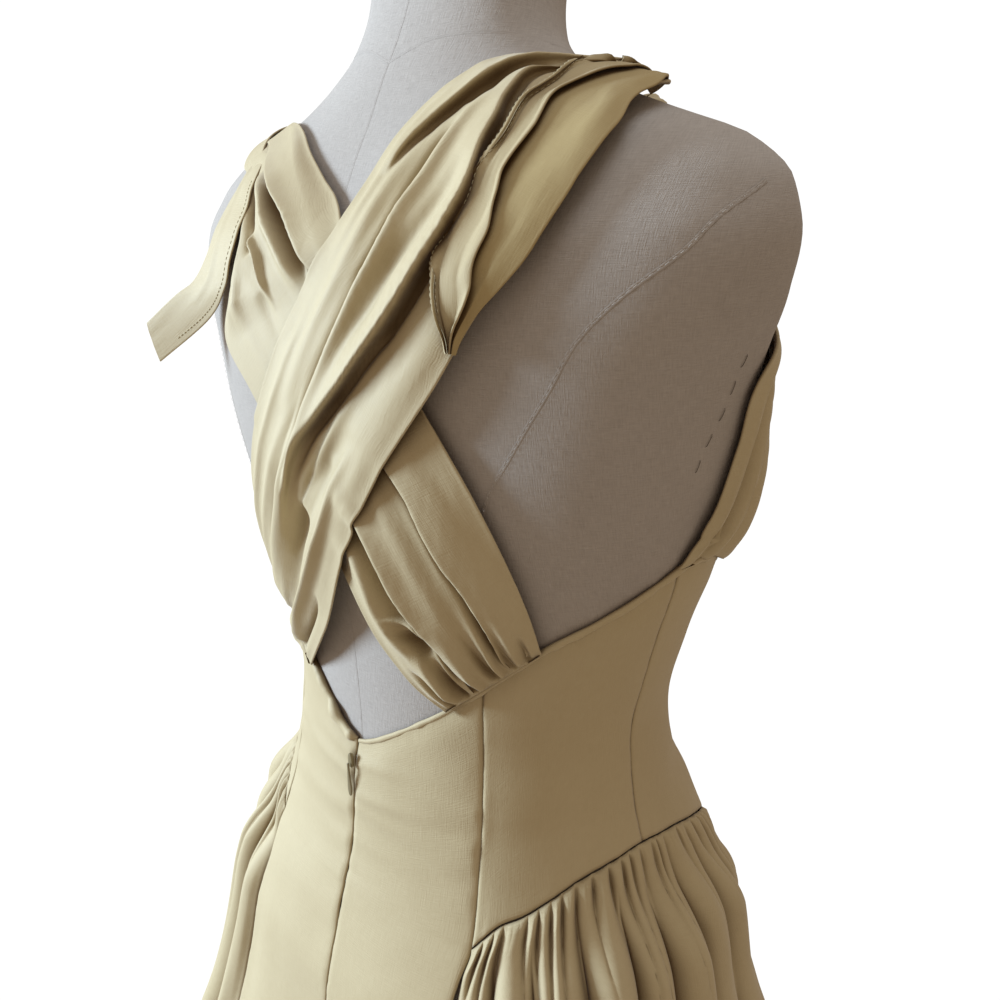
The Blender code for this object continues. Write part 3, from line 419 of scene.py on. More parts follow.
def sheet_object(name, p, mat, outward_hint=None, closed_cols=False, along=0):
    """A shown piece from a grid of points, with its cloth's own measure as UV, in metres."""
    rows, cols = p.shape[:2]
    a0 = arc(p, 0).mean(1)
    a1 = arc(p, 1)
    a1 = a1 - a1[:, cols // 2:cols // 2 + 1]
    n = grid_normals(p)
    flip = outward_hint is not None and np.median((n * outward_hint).sum(-1)) < 0
    w = metres(p).reshape(-1, 3)
    last = cols if closed_cols else cols - 1
    i, j = np.meshgrid(np.arange(rows - 1), np.arange(last), indexing="ij")
    i, j = i.ravel(), j.ravel()
    jn = (j + 1) % cols
    quad = np.stack([i * cols + j, (i + 1) * cols + j, (i + 1) * cols + jn, i * cols + jn], -1)
    if flip:
        quad = quad[:, ::-1]
    mesh = bpy.data.meshes.new(name)
    mesh.vertices.add(len(w))
    mesh.vertices.foreach_set("co", w.astype(np.float32).ravel())
    mesh.loops.add(quad.size)
    mesh.loops.foreach_set("vertex_index", quad.astype(np.int32).ravel())
    mesh.polygons.add(len(quad))
    mesh.polygons.foreach_set("loop_start", np.arange(0, quad.size, 4, dtype=np.int32))
    mesh.polygons.foreach_set("loop_total", np.full(len(quad), 4, dtype=np.int32))
    uv = mesh.uv_layers.new(name="cloth")
    flat = np.stack([a1, np.broadcast_to(a0[:, None], a1.shape)], -1).reshape(-1, 2) * 0.01
    if along == 1:
        flat = flat[:, ::-1]
    uv.data.foreach_set("uv", flat[quad.ravel()].astype(np.float32).ravel())
    mesh.update(calc_edges=True)
    mesh.validate()
    mesh.shade_smooth()
    o = bpy.data.objects.new(name, mesh)
    scene.collection.objects.link(o)
    o.data.materials.append(mat)
    return o


def faces_object(name, verts, faces, mat, smooth_angle=None, in_metres=False):
    v = np.asarray(verts, float)
    if not in_metres:
        v = metres(v)
    mesh = bpy.data.meshes.new(name)
    mesh.from_pydata([tuple(x) for x in v], [], [tuple(f) for f in faces])
    bm = bmesh.new()
    bm.from_mesh(mesh)
    bmesh.ops.recalc_face_normals(bm, faces=bm.faces)
    bm.to_mesh(mesh)
    bm.free()
    mesh.shade_smooth()
    if smooth_angle:
        mesh.set_sharp_from_angle(angle=math.radians(smooth_angle))
    o = bpy.data.objects.new(name, mesh)
    scene.collection.objects.link(o)
    o.data.materials.append(mat)
    return o


def tube(path, r, segs=8, closed=False, normals=None, flat=1.0):
    """Vertices and faces of a tube along a path; flat below 1 presses it towards its normals."""
    path = np.asarray(path, float)
    k = len(path)
    t = np.gradient(path, axis=0)
    t /= np.maximum(np.linalg.norm(t, axis=1, keepdims=True), 1e-9)
    if normals is None:
        ref = np.array([0.0, 0.0, 1.0])
        normals = np.cross(t, np.cross(ref, t))
    normals = normals - (normals * t).sum(1, keepdims=True) * t
    normals /= np.maximum(np.linalg.norm(normals, axis=1, keepdims=True), 1e-9)
    side = np.cross(t, normals)
    r = np.broadcast_to(np.asarray(r, float), (k,))
    verts = []
    for j in range(segs):
        a = 2 * math.pi * j / segs
        verts.append(path + side * (math.cos(a) * r)[:, None] + normals * (math.sin(a) * r * flat)[:, None])
    verts = np.array(verts).transpose(1, 0, 2).reshape(-1, 3)
    faces = [(i * segs + j, i * segs + (j + 1) % segs, (i + 1) * segs + (j + 1) % segs, (i + 1) * segs + j)
             for i in range(k - 1) for j in range(segs)]
    faces.append(tuple(range(segs)))
    faces.append(tuple((k - 1) * segs + j for j in reversed(range(segs))))
    return verts, faces


def resample(path, step):
    path = np.asarray(path, float)
    s = np.concatenate([[0], np.cumsum(np.linalg.norm(np.diff(path, axis=0), axis=1))])
    k = max(2, int(round(s[-1] / step)) + 1)
    x = np.linspace(0, s[-1], k)
    return np.stack([np.interp(x, s, path[:, i]) for i in range(3)], -1)


def stitches(name, lines, mat, length=0.26, gap=0.10, r=0.022, lift=0.015):
    """Short thread stitches along lines of (points, normals), one piece."""
    verts, faces = [], []
    for pts, nrm in lines:
        pts, nrm = np.asarray(pts, float), np.asarray(nrm, float)
        s = np.concatenate([[0], np.cumsum(np.linalg.norm(np.diff(pts, axis=0), axis=1))])
        at = 0.0
        while at + length < s[-1]:
            x = at + length * np.array([0.0, 0.12, 0.5, 0.88, 1.0])
            c = np.stack([np.interp(x, s, pts[:, i]) for i in range(3)], -1)
            m = np.stack([np.interp(x, s, nrm[:, i]) for i in range(3)], -1)
            m /= np.linalg.norm(m, axis=1, keepdims=True)
            c = c + m * (np.array([-0.03, 0.012, 0.022, 0.012, -0.03]) + lift)[:, None]
            v, f = tube(c, [r * 0.5, r, r, r, r * 0.5], 5, normals=m)
            k = sum(len(q) for q in verts)
            verts.append(v)
            faces += [tuple(i + k for i in q) for q in f]
            at += length + gap
    return faces_object(name, np.concatenate(verts), faces, mat)


def mirrored(p):
    q = p[:, ::-1].copy()
    q[..., 0] *= -1
    return q


# ------------------------------------------------------------------ materials
def nodes_of(name):
    m = bpy.data.materials.new(name)
    m.use_nodes = True
    t = m.node_tree
    return m, t, t.nodes["Principled BSDF"]


def link(t, a, b):
    t.links.new(a, b)


def new(t, kind, **values):
    n = t.nodes.new(kind)
    for k, v in values.items():
        if k in n.inputs:
            n.inputs[k].default_value = v
        else:
            setattr(n, k, v)
    return n


def painted_fold_shade(t, color, deep, reach, low, high):
    """Paints shade into a colour where cloth lies close to cloth: a painted darkening in folds, creases and gaps,
    driven by an ambient occlusion node.
    """
    ao = new(t, "ShaderNodeAmbientOcclusion")
    ao.samples = 8
    ao.inputs["Distance"].default_value = reach
    far = new(t, "ShaderNodeMapRange")
    far.inputs["From Min"].default_value = low
    far.inputs["From Max"].default_value = high
    link(t, ao.outputs["AO"], far.inputs["Value"])
    # colour of the painted shade in the deepest folds, blended towards white where the surface is open
    painted_shade_tint = new(t, "ShaderNodeMix", data_type="RGBA")
    painted_shade_tint.inputs["A"].default_value = (*deep, 1)
    painted_shade_tint.inputs["B"].default_value = (1, 1, 1, 1)
    link(t, far.outputs["Result"], painted_shade_tint.inputs["Factor"])
    both_ = new(t, "ShaderNodeMix", data_type="RGBA", blend_type="MULTIPLY")
    both_.inputs["Factor"].default_value = 1.0
    link(t, color, both_.inputs["A"])
    link(t, painted_shade_tint.outputs["Result"], both_.inputs["B"])
    return both_.outputs["Result"]


def cloth_material(name, light, dark, rough=0.62, weave=0.0005, slub=0.35, sheen=0.25, patch=0.5, coords="UV"):
    """Woven cotton sateen: fine slubs along both yarns, a faint weave, slight unevenness of colour, and painted shade
    in its folds and creases.
    """
    m, t, b = nodes_of(name)
    co = new(t, "ShaderNodeTexCoord")
    src = co.outputs["UV"] if coords == "UV" else co.outputs["Object"]

    def stretched(sx, sy, detail):
        mp = new(t, "ShaderNodeMapping")
        mp.inputs["Scale"].default_value = (sx, sy, sx if coords != "UV" else 1.0)
        link(t, src, mp.inputs["Vector"])
        nz = new(t, "ShaderNodeTexNoise", Scale=1.0, Detail=detail, Roughness=0.55)
        link(t, mp.outputs["Vector"], nz.inputs["Vector"])
        return nz.outputs["Fac"]
    warp = stretched(1500, 90, 2.0)
    weft = stretched(90, 1500, 2.0)
    yarn = new(t, "ShaderNodeMath", operation="ADD")
    link(t, warp, yarn.inputs[0])
    link(t, weft, yarn.inputs[1])
    wv = new(t, "ShaderNodeMapping")
    wv.inputs["Rotation"].default_value = (0, 0, math.radians(62))
    link(t, src, wv.inputs["Vector"])
    wave = new(t, "ShaderNodeTexWave", Scale=0.314 / weave, Distortion=0.6, Detail=1.0)
    wave.inputs["Detail Scale"].default_value = 2.0
    link(t, wv.outputs["Vector"], wave.inputs["Vector"])
    mix = new(t, "ShaderNodeMath", operation="MULTIPLY_ADD")
    link(t, wave.outputs["Fac"], mix.inputs[0])
    mix.inputs[1].default_value = 0.25
    link(t, yarn.outputs[0], mix.inputs[2])
    big = stretched(9, 6, 3.0)
    fine = stretched(260, 200, 3.0)
    tone = new(t, "ShaderNodeMath", operation="MULTIPLY_ADD")
    link(t, fine, tone.inputs[0])
    tone.inputs[1].default_value = 0.35
    link(t, big, tone.inputs[2])
    tone2 = new(t, "ShaderNodeMath", operation="MULTIPLY_ADD")
    link(t, yarn.outputs[0], tone2.inputs[0])
    tone2.inputs[1].default_value = 0.30
    link(t, tone.outputs[0], tone2.inputs[2])
    ramp = new(t, "ShaderNodeMapRange")
    ramp.inputs["From Min"].default_value = 0.72
    ramp.inputs["From Max"].default_value = 1.22
    link(t, tone2.outputs[0], ramp.inputs["Value"])
    col = new(t, "ShaderNodeMix", data_type="RGBA")
    col.inputs["A"].default_value = (*dark, 1)
    col.inputs["B"].default_value = (*light, 1)
    link(t, ramp.outputs["Result"], col.inputs["Factor"])
    # painted shade: the base colour is darkened to a warm brown in folds, creases and seams
    link(t, painted_fold_shade(t, col.outputs["Result"], (0.27, 0.185, 0.105), 0.016, 0.26, 0.92), b.inputs["Base Color"])
    rr = new(t, "ShaderNodeMapRange")
    rr.inputs["To Min"].default_value = rough - 0.06
    rr.inputs["To Max"].default_value = rough + 0.07
    link(t, fine, rr.inputs["Value"])
    link(t, rr.outputs["Result"], b.inputs["Roughness"])
    bump = new(t, "ShaderNodeBump", Strength=slub, Distance=0.0004)
    link(t, mix.outputs[0], bump.inputs["Height"])
    link(t, bump.outputs["Normal"], b.inputs["Normal"])
    b.inputs["Sheen Weight"].default_value = sheen
    b.inputs["Sheen Roughness"].default_value = 0.45
    b.inputs["Specular IOR Level"].default_value = 0.35
    return m


def linen_material(name, light, dark):
    """Unbleached linen: plain weave with thick and thin yarns both ways and small slubs, with a light painted shade
    where cloth lies close over the cover.
    """
    m, t, b = nodes_of(name)
    co = new(t, "ShaderNodeTexCoord")

    def stretched(sx, sy, detail):
        mp = new(t, "ShaderNodeMapping")
        mp.inputs["Scale"].default_value = (sx, sy, 1.0)
        link(t, co.outputs["UV"], mp.inputs["Vector"])
        nz = new(t, "ShaderNodeTexNoise", Scale=1.0, Detail=detail, Roughness=0.6)
        link(t, mp.outputs["Vector"], nz.inputs["Vector"])
        return nz.outputs["Fac"]
    warp, weft = stretched(1900, 150, 2.0), stretched(150, 1900, 2.0)
    add = new(t, "ShaderNodeMath", operation="ADD")
    link(t, warp, add.inputs[0])
    link(t, weft, add.inputs[1])
    big = stretched(12, 10, 4.0)
    tone = new(t, "ShaderNodeMath", operation="MULTIPLY_ADD")
    link(t, big, tone.inputs[0])
    tone.inputs[1].default_value = 0.55
    link(t, add.outputs[0], tone.inputs[2])
    ramp = new(t, "ShaderNodeMapRange")
    ramp.inputs["From Min"].default_value = 0.85
    ramp.inputs["From Max"].default_value = 1.75
    link(t, tone.outputs[0], ramp.inputs["Value"])
    col = new(t, "ShaderNodeMix", data_type="RGBA")
    col.inputs["A"].default_value = (*dark, 1)
    col.inputs["B"].default_value = (*light, 1)
    link(t, ramp.outputs["Result"], col.inputs["Factor"])
    # painted shade: the cover's colour is darkened a little where cloth lies close over it
    link(t, painted_fold_shade(t, col.outputs["Result"], (0.74, 0.70, 0.67), 0.008, 0.20, 0.85), b.inputs["Base Color"])
    b.inputs["Roughness"].default_value = 0.9
    b.inputs["Specular IOR Level"].default_value = 0.2
    b.inputs["Sheen Weight"].default_value = 0.15
    b.inputs["Sheen Roughness"].default_value = 0.6
    bump = new(t, "ShaderNodeBump", Strength=0.5, Distance=0.0005)
    link(t, add.outputs[0], bump.inputs["Height"])
    link(t, bump.outputs["Normal"], b.inputs["Normal"])
    return m


def plain_material(name, color, rough, metallic=0.0, scale=220.0, vary=0.12, bump_by=0.15):
    m, t, b = nodes_of(name)
    co = new(t, "ShaderNodeTexCoord")
    nz = new(t, "ShaderNodeTexNoise", Scale=scale, Detail=3.0)
    link(t, co.outputs["Object"], nz.inputs["Vector"])
    col = new(t, "ShaderNodeMix", data_type="RGBA")
    col.inputs["A"].default_value = (*[c * (1 - vary) for c in color], 1)
    col.inputs["B"].default_value = (*[min(1, c * (1 + vary)) for c in color], 1)
    link(t, nz.outputs["Fac"], col.inputs["Factor"])
    link(t, col.outputs["Result"], b.inputs["Base Color"])
    rr = new(t, "ShaderNodeMapRange")
    rr.inputs["To Min"].default_value = max(0.05, rough - 0.08)
    rr.inputs["To Max"].default_value = rough + 0.08
    link(t, nz.outputs["Fac"], rr.inputs["Value"])
    link(t, rr.outputs["Result"], b.inputs["Roughness"])
    b.inputs["Metallic"].default_value = metallic
    bp = new(t, "ShaderNodeBump", Strength=bump_by, Distance=0.0003)
    link(t, nz.outputs["Fac"], bp.inputs["Height"])
    link(t, bp.outputs["Normal"], b.inputs["Normal"])
    return m


CLOTH = cloth_material("cotton_sateen", (0.590, 0.500, 0.310), (0.530, 0.440, 0.262))
CLOTH_INNER = cloth_material("cotton_sateen_wrong_side", (0.470, 0.362, 0.172), (0.420, 0.318, 0.146), rough=0.72, sheen=0.1)
CLOTH_TURNED = cloth_material("cotton_sateen_turned", (0.520, 0.425, 0.245), (0.470, 0.380, 0.212), rough=0.68, sheen=0.15)
THREAD = plain_material("thread", (0.62, 0.55, 0.36), 0.6, scale=900)
THREAD_PALE = plain_material("thread_pale", (0.66, 0.64, 0.60), 0.7, scale=900)
THREAD_DARK = plain_material("thread_dark", (0.16, 0.14, 0.12), 0.8, scale=900)
LINEN = linen_material("linen_cover", (0.520, 0.480, 0.440), (0.370, 0.335, 0.305))
CAP = plain_material("cap_plastic", (0.022, 0.022, 0.025), 0.42)
STEEL = plain_material("painted_steel", (0.10, 0.10, 0.105), 0.34, 0.85, scale=300, vary=0.2)
ZIP = plain_material("zip_metal", (0.27, 0.225, 0.13), 0.40, 0.2, scale=400)


def floor_material():
    """Pale matt floor that melts into the white background at its rim."""
    m, t, b = nodes_of("floor")
    co = new(t, "ShaderNodeTexCoord")
    length = new(t, "ShaderNodeVectorMath", operation="LENGTH")
    link(t, co.outputs["Object"], length.inputs[0])
    nz = new(t, "ShaderNodeTexNoise", Scale=3.0, Detail=3.0)
    link(t, co.outputs["Object"], nz.inputs["Vector"])
    col = new(t, "ShaderNodeMix", data_type="RGBA")
    col.inputs["A"].default_value = (0.84, 0.84, 0.835, 1)
    col.inputs["B"].default_value = (0.90, 0.90, 0.895, 1)
    link(t, nz.outputs["Fac"], col.inputs["Factor"])
    link(t, col.outputs["Result"], b.inputs["Base Color"])
    b.inputs["Roughness"].default_value = 0.7
    rim = new(t, "ShaderNodeMapRange", interpolation_type="SMOOTHSTEP")
    rim.inputs["From Min"].default_value = 0.42
    rim.inputs["From Max"].default_value = 0.80
    rim.inputs["To Min"].default_value = 1.0
    rim.inputs["To Max"].default_value = 0.0
    link(t, length.outputs["Value"], rim.inputs["Value"])
    link(t, rim.outputs["Result"], b.inputs["Alpha"])
    return m


floor_mesh = bpy.data.meshes.new("floor")
bm = bmesh.new()
bmesh.ops.create_circle(bm, cap_ends=True, segments=96, radius=0.82)
bm.to_mesh(floor_mesh)
bm.free()
floor = bpy.data.objects.new("floor", floor_mesh)
scene.collection.objects.link(floor)
floor.data.materials.append(floor_material())
floor.location.z = -0.0005


def piece(o, slot_name, *replaced, body="dress"):
    """Hides the parts that a piece replaces and attaches it to the body it rides with; its finish name is not used."""
    if replaced:
        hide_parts(*replaced)
    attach(o, body)
    return o


# ------------------------------------------------------------------ creases
def crease_field(s, u, width, rows):
    """Height and sideways shift, in cm, of the listed folds on a band.

    s runs along the band and u across it, both 0-1; width is the band's width in cm at each s.
    A row is (kind, reach, line) with line = [(s, u, height), ...]:
    ridge   a round fold or, with a negative height, a round valley; reach is its half width
    groove  a sharp valley
    in      an overlapping fold that lies on the side of larger u, its lip towards smaller u
    out     the same the other way round
    """
    h = np.zeros(np.broadcast(s, u).shape)
    shift = np.zeros_like(h)
    for kind, reach, line in rows:
        a = np.array(line, float)
        a = a[a[:, 0].argsort()]
        sc = np.clip(s, a[0, 0], a[-1, 0])
        uc = catmull(sc, a[:, 0], a[:, 1])
        hc = hermite(sc, a[:, 0], a[:, 2])
        lo, hi = a[0, 0], a[-1, 0]
        fade = np.ones_like(s)
        if lo > 0.012:
            fade = fade * smooth((s - lo + 0.012) / 0.024)
        if hi < 0.99:
            fade = fade * smooth((hi + 0.012 - s) / 0.024)
        d = (u - uc) * width
        hc = hc * fade
        if kind == "ridge":
            h += hc * np.exp(-(d / reach) ** 2)
        elif kind == "groove":
            h += hc * np.exp(-(np.abs(d) / reach) ** 1.25)
        else:
            sgn = 1.0 if kind == "in" else -1.0
            x = d * sgn
            half = 0.22
            t = np.clip((x + half) / (2 * half), 0, 1)
            over = np.exp(-np.clip(x - half, 0, None) / reach)
            h += hc * smooth(t) * over - (0.14 + 0.42 * hc) * smooth(hc / 0.55) * np.exp(-((x + half * 0.9) / 0.24) ** 2)
            nose = smooth((t - 0.35) / 0.5) * np.exp(-np.clip(x - half, 0, None) / 0.55)
            under = np.exp(-((t - 0.22) / 0.20) ** 2) * np.exp(-np.abs(np.clip(x + half, None, 0)) / 0.3)
            shift += sgn * (-nose * (0.40 * hc + 0.05 * smooth(hc / 0.2)) + under * 0.14 * smooth(hc / 0.3))
    return h, shift


def strap(table, rows, cols, creases, seam_folds=(), lumps=0.10, seed=3, lift_floor=0.14, tree=None, tree_lift=0.16, full=0.0, covered=None):
    """A draped band as a fine grid: its edges from the table, its folds from the crease rows."""
    s = np.linspace(0, 1, rows)
    s = s - 0.018 * np.sin(2 * np.pi * s) / (2 * np.pi)
    c = [catmull(s, table[:, 0], table[:, i]) for i in range(1, 7)]
    a, b = on_form(c[0], c[1], c[2]), on_form(c[3], c[4], c[5])
    u = np.linspace(0, 1, cols)
    p = a[:, None] * (1 - u[None, :, None]) + b[:, None] * u[None, :, None]
    lift = c[2][:, None] * (1 - u) + c[5][:, None] * u
    p = clear_of(p, lift * 0.9, FORM_TREE)
    ref = p * np.array([1, 1, 0.0])
    ref[..., 2] += 16 * smooth((p[..., 2] - 30) / 3)
    n = grid_normals(p, ref)
    width = arc(p, 1)[:, -1:]
    length = arc(p, 0)[-1].mean()
    S, U = np.broadcast_to(s[:, None], (rows, cols)), np.broadcast_to(u, (rows, cols))
    h, shift = crease_field(S, U, width, creases)
    for place, half, high, reach in seam_folds:
        d = (U - place) * width
        x = S * length
        h += high * np.exp(-(d / (half * (1 + 0.10 * x))) ** 2) * np.exp(-(x / reach) ** 1.4) * smooth((x + 0.25) / 0.6)
    h += lumps * rough2(U * width / 2.6, S * length / 9.0, seed, 2) * smooth(U / 0.08) * smooth((1 - U) / 0.08)
    h += 0.035 * rough2(U * width / 0.9, S * length / 3.2, seed + 5, 2)
    h += full * smooth(U / 0.13) * smooth((1 - U) / 0.13) * smooth(S / 0.04) * smooth((0.86 - S) / 0.2)
    if covered is not None:
        calm = smooth((S - covered[0] + covered[1] * U) / 0.05) * smooth((covered[2] + covered[3] * U - S) / 0.05)
        h = h * (1 - 0.8 * calm)
        shift = shift * (1 - calm)
    t = np.gradient(p, axis=1)
    t /= np.maximum(np.linalg.norm(t, axis=-1, keepdims=True), 1e-9)
    ends = smooth(S / 0.012)
    p = p + n * (h * ends)[..., None] + t * (shift * ends * smooth(U / 0.05) * smooth((1 - U) / 0.05))[..., None]
    p = clear_of(p, lift_floor, FORM_TREE, soft=0.06, limit=0.3)
    if tree is not None:
        p = settle(p, lambda q: clear_of(q, tree_lift, tree[0], sign=tree[1], soft=0.08, reach=1.0, limit=0.5), rounds=5, rows=9, cols=8)
    k = smooth((S - 0.89) / 0.06)[..., None]      # the end runs smoothly into its knot
    p = p * (1 - k) + blur(blur(p, 0, 10), 1, 14) * k
    return p, grid_normals(p, ref), S, U, width


OVER_CREASES = [
    # the big roll whose lip overhangs the flat outer band, from the shoulder to the seam
    ("ridge", 0.55, [(0.0, 0.60, 0.22), (0.09, 0.59, 0.28), (0.162, 0.575, 0.36), (0.22, 0.57, 0.42), (0.27, 0.58, 0.44), (0.32, 0.585, 0.30), (0.36, 0.57, 0.0)]),
    ("in", 1.25, [(0.16, 0.50, 0.0), (0.22, 0.515, 0.10), (0.27, 0.53, 0.24), (0.31, 0.535, 0.44), (0.352, 0.51, 0.64), (0.378, 0.47, 0.80), (0.414, 0.42, 0.92),
                  (0.45, 0.38, 1.02), (0.486, 0.35, 1.06), (0.52, 0.335, 1.06), (0.566, 0.33, 1.0), (0.636, 0.345, 0.84),
                  (0.674, 0.40, 0.70), (0.714, 0.46, 0.60), (0.754, 0.51, 0.54), (0.784, 0.57, 0.50), (0.844, 0.66, 0.40),
                  (0.90, 0.72, 0.30), (1.0, 0.75, 0.15)]),
    # the narrow dark valley on the inner half and the crest beside it
    ("groove", 0.26, [(0.25, 0.555, 0.0), (0.30, 0.585, -0.30), (0.34, 0.605, -0.48), (0.398, 0.61, -0.55), (0.44, 0.62, -0.58),
                      (0.49, 0.645, -0.60), (0.542, 0.66, -0.56), (0.586, 0.68, -0.52), (0.642, 0.72, -0.44), (0.69, 0.72, -0.34), (0.74, 0.70, 0.0)]),
    ("ridge", 0.42, [(0.27, 0.50, 0.0), (0.302, 0.53, 0.16), (0.338, 0.55, 0.26), (0.382, 0.56, 0.34), (0.424, 0.555, 0.40),
                     (0.47, 0.565, 0.46), (0.502, 0.575, 0.50), (0.54, 0.575, 0.50), (0.584, 0.585, 0.46), (0.642, 0.62, 0.40),
                     (0.69, 0.65, 0.34), (0.74, 0.68, 0.24), (0.80, 0.70, 0.0)]),
    ("ridge", 0.50, [(0.42, 0.50, 0.0), (0.464, 0.49, -0.20), (0.496, 0.475, -0.32), (0.548, 0.48, -0.40), (0.602, 0.45, -0.36), (0.65, 0.47, -0.2), (0.69, 0.50, 0.0)]),
    # tiers towards the shoulder
    ("in", 0.90, [(0.62, 0.86, 0.0), (0.656, 0.87, 0.22), (0.708, 0.845, 0.38), (0.752, 0.825, 0.46), (0.80, 0.82, 0.50), (0.84, 0.835, 0.46), (0.88, 0.83, 0.36), (0.93, 0.80, 0.22), (1.0, 0.80, 0.1)]),
    ("groove", 0.26, [(0.755, 0.755, 0.0), (0.80, 0.762, -0.32), (0.84, 0.785, -0.38), (0.875, 0.765, -0.34), (0.93, 0.74, 0.0)]),
    ("ridge", 0.55, [(0.33, 0.76, 0.0), (0.388, 0.765, 0.16), (0.43, 0.77, 0.20), (0.466, 0.77, 0.22), (0.528, 0.785, 0.22), (0.568, 0.795, 0.22), (0.638, 0.82, 0.16), (0.70, 0.84, 0.0)]),
    ("ridge", 0.35, [(0.50, 0.90, 0.0), (0.56, 0.895, 0.10), (0.64, 0.915, 0.14), (0.72, 0.925, 0.12), (0.80, 0.93, 0.0)]),
    ("ridge", 0.45, [(0.50, 0.47 + 0.25, 0.0), (0.56, 0.735, -0.10), (0.62, 0.77, -0.12), (0.68, 0.78, 0.0)]),
    # below the crossing: a small branch, the long valley, the fold beside it and the pit at the seam
    ("ridge", 0.34, [(0.25, 0.47, 0.0), (0.298, 0.44, 0.16), (0.35, 0.385, 0.24), (0.388, 0.35, 0.20), (0.43, 0.31, 0.0)]),
    ("ridge", 0.72, [(0.0, 0.44, -0.14), (0.036, 0.425, -0.40), (0.09, 0.42, -0.62), (0.144, 0.415, -0.80), (0.224, 0.41, -0.90), (0.30, 0.37, -0.76), (0.354, 0.31, -0.38), (0.40, 0.26, 0.0)]),
    ("groove", 0.22, [(0.14, 0.455, 0.0), (0.18, 0.45, -0.18), (0.24, 0.45, -0.30), (0.30, 0.435, -0.34), (0.36, 0.40, -0.2), (0.40, 0.36, 0.0)]),
    ("ridge", 0.36, [(0.0, 0.23, 0.36), (0.05, 0.235, 0.46), (0.094, 0.24, 0.54), (0.15, 0.22, 0.58), (0.232, 0.185, 0.56), (0.294, 0.185, 0.44), (0.338, 0.205, 0.28), (0.39, 0.21, 0.0)]),
    ("groove", 0.24, [(0.0, 0.17, -0.40), (0.04, 0.15, -0.56), (0.074, 0.135, -0.60), (0.13, 0.12, -0.44), (0.18, 0.12, 0.0)]),
    # soft tiers at the inner side
    ("ridge", 0.40, [(0.03, 0.75, 0.0), (0.10, 0.745, 0.16), (0.20, 0.73, 0.20), (0.30, 0.72, 0.14), (0.36, 0.70, 0.0)]),
    ("ridge", 0.30, [(0.06, 0.87, 0.0), (0.14, 0.865, 0.14), (0.24, 0.865, 0.15), (0.34, 0.87, 0.12), (0.44, 0.88, 0.0)]),
    ("groove", 0.24, [(0.06, 0.665, 0.0), (0.14, 0.66, -0.16), (0.24, 0.65, -0.18), (0.33, 0.66, -0.12), (0.39, 0.67, 0.0)]),
    ("ridge", 1.20, [(0.28, 0.14, 0.0), (0.36, 0.13, 0.12), (0.50, 0.13, 0.14), (0.66, 0.16, 0.10), (0.8, 0.2, 0.0)]),
]
OVER_SEAM = [(0.06, 0.20, 0.14, 2.4), (0.30, 0.22, 0.22, 3.4), (0.52, 0.18, 0.16, 3.0),
             (0.66, 0.20, 0.26, 4.2), (0.75, 0.18, 0.20, 2.6), (0.86, 0.22, 0.24, 3.6), (0.95, 0.16, 0.16, 2.0)]
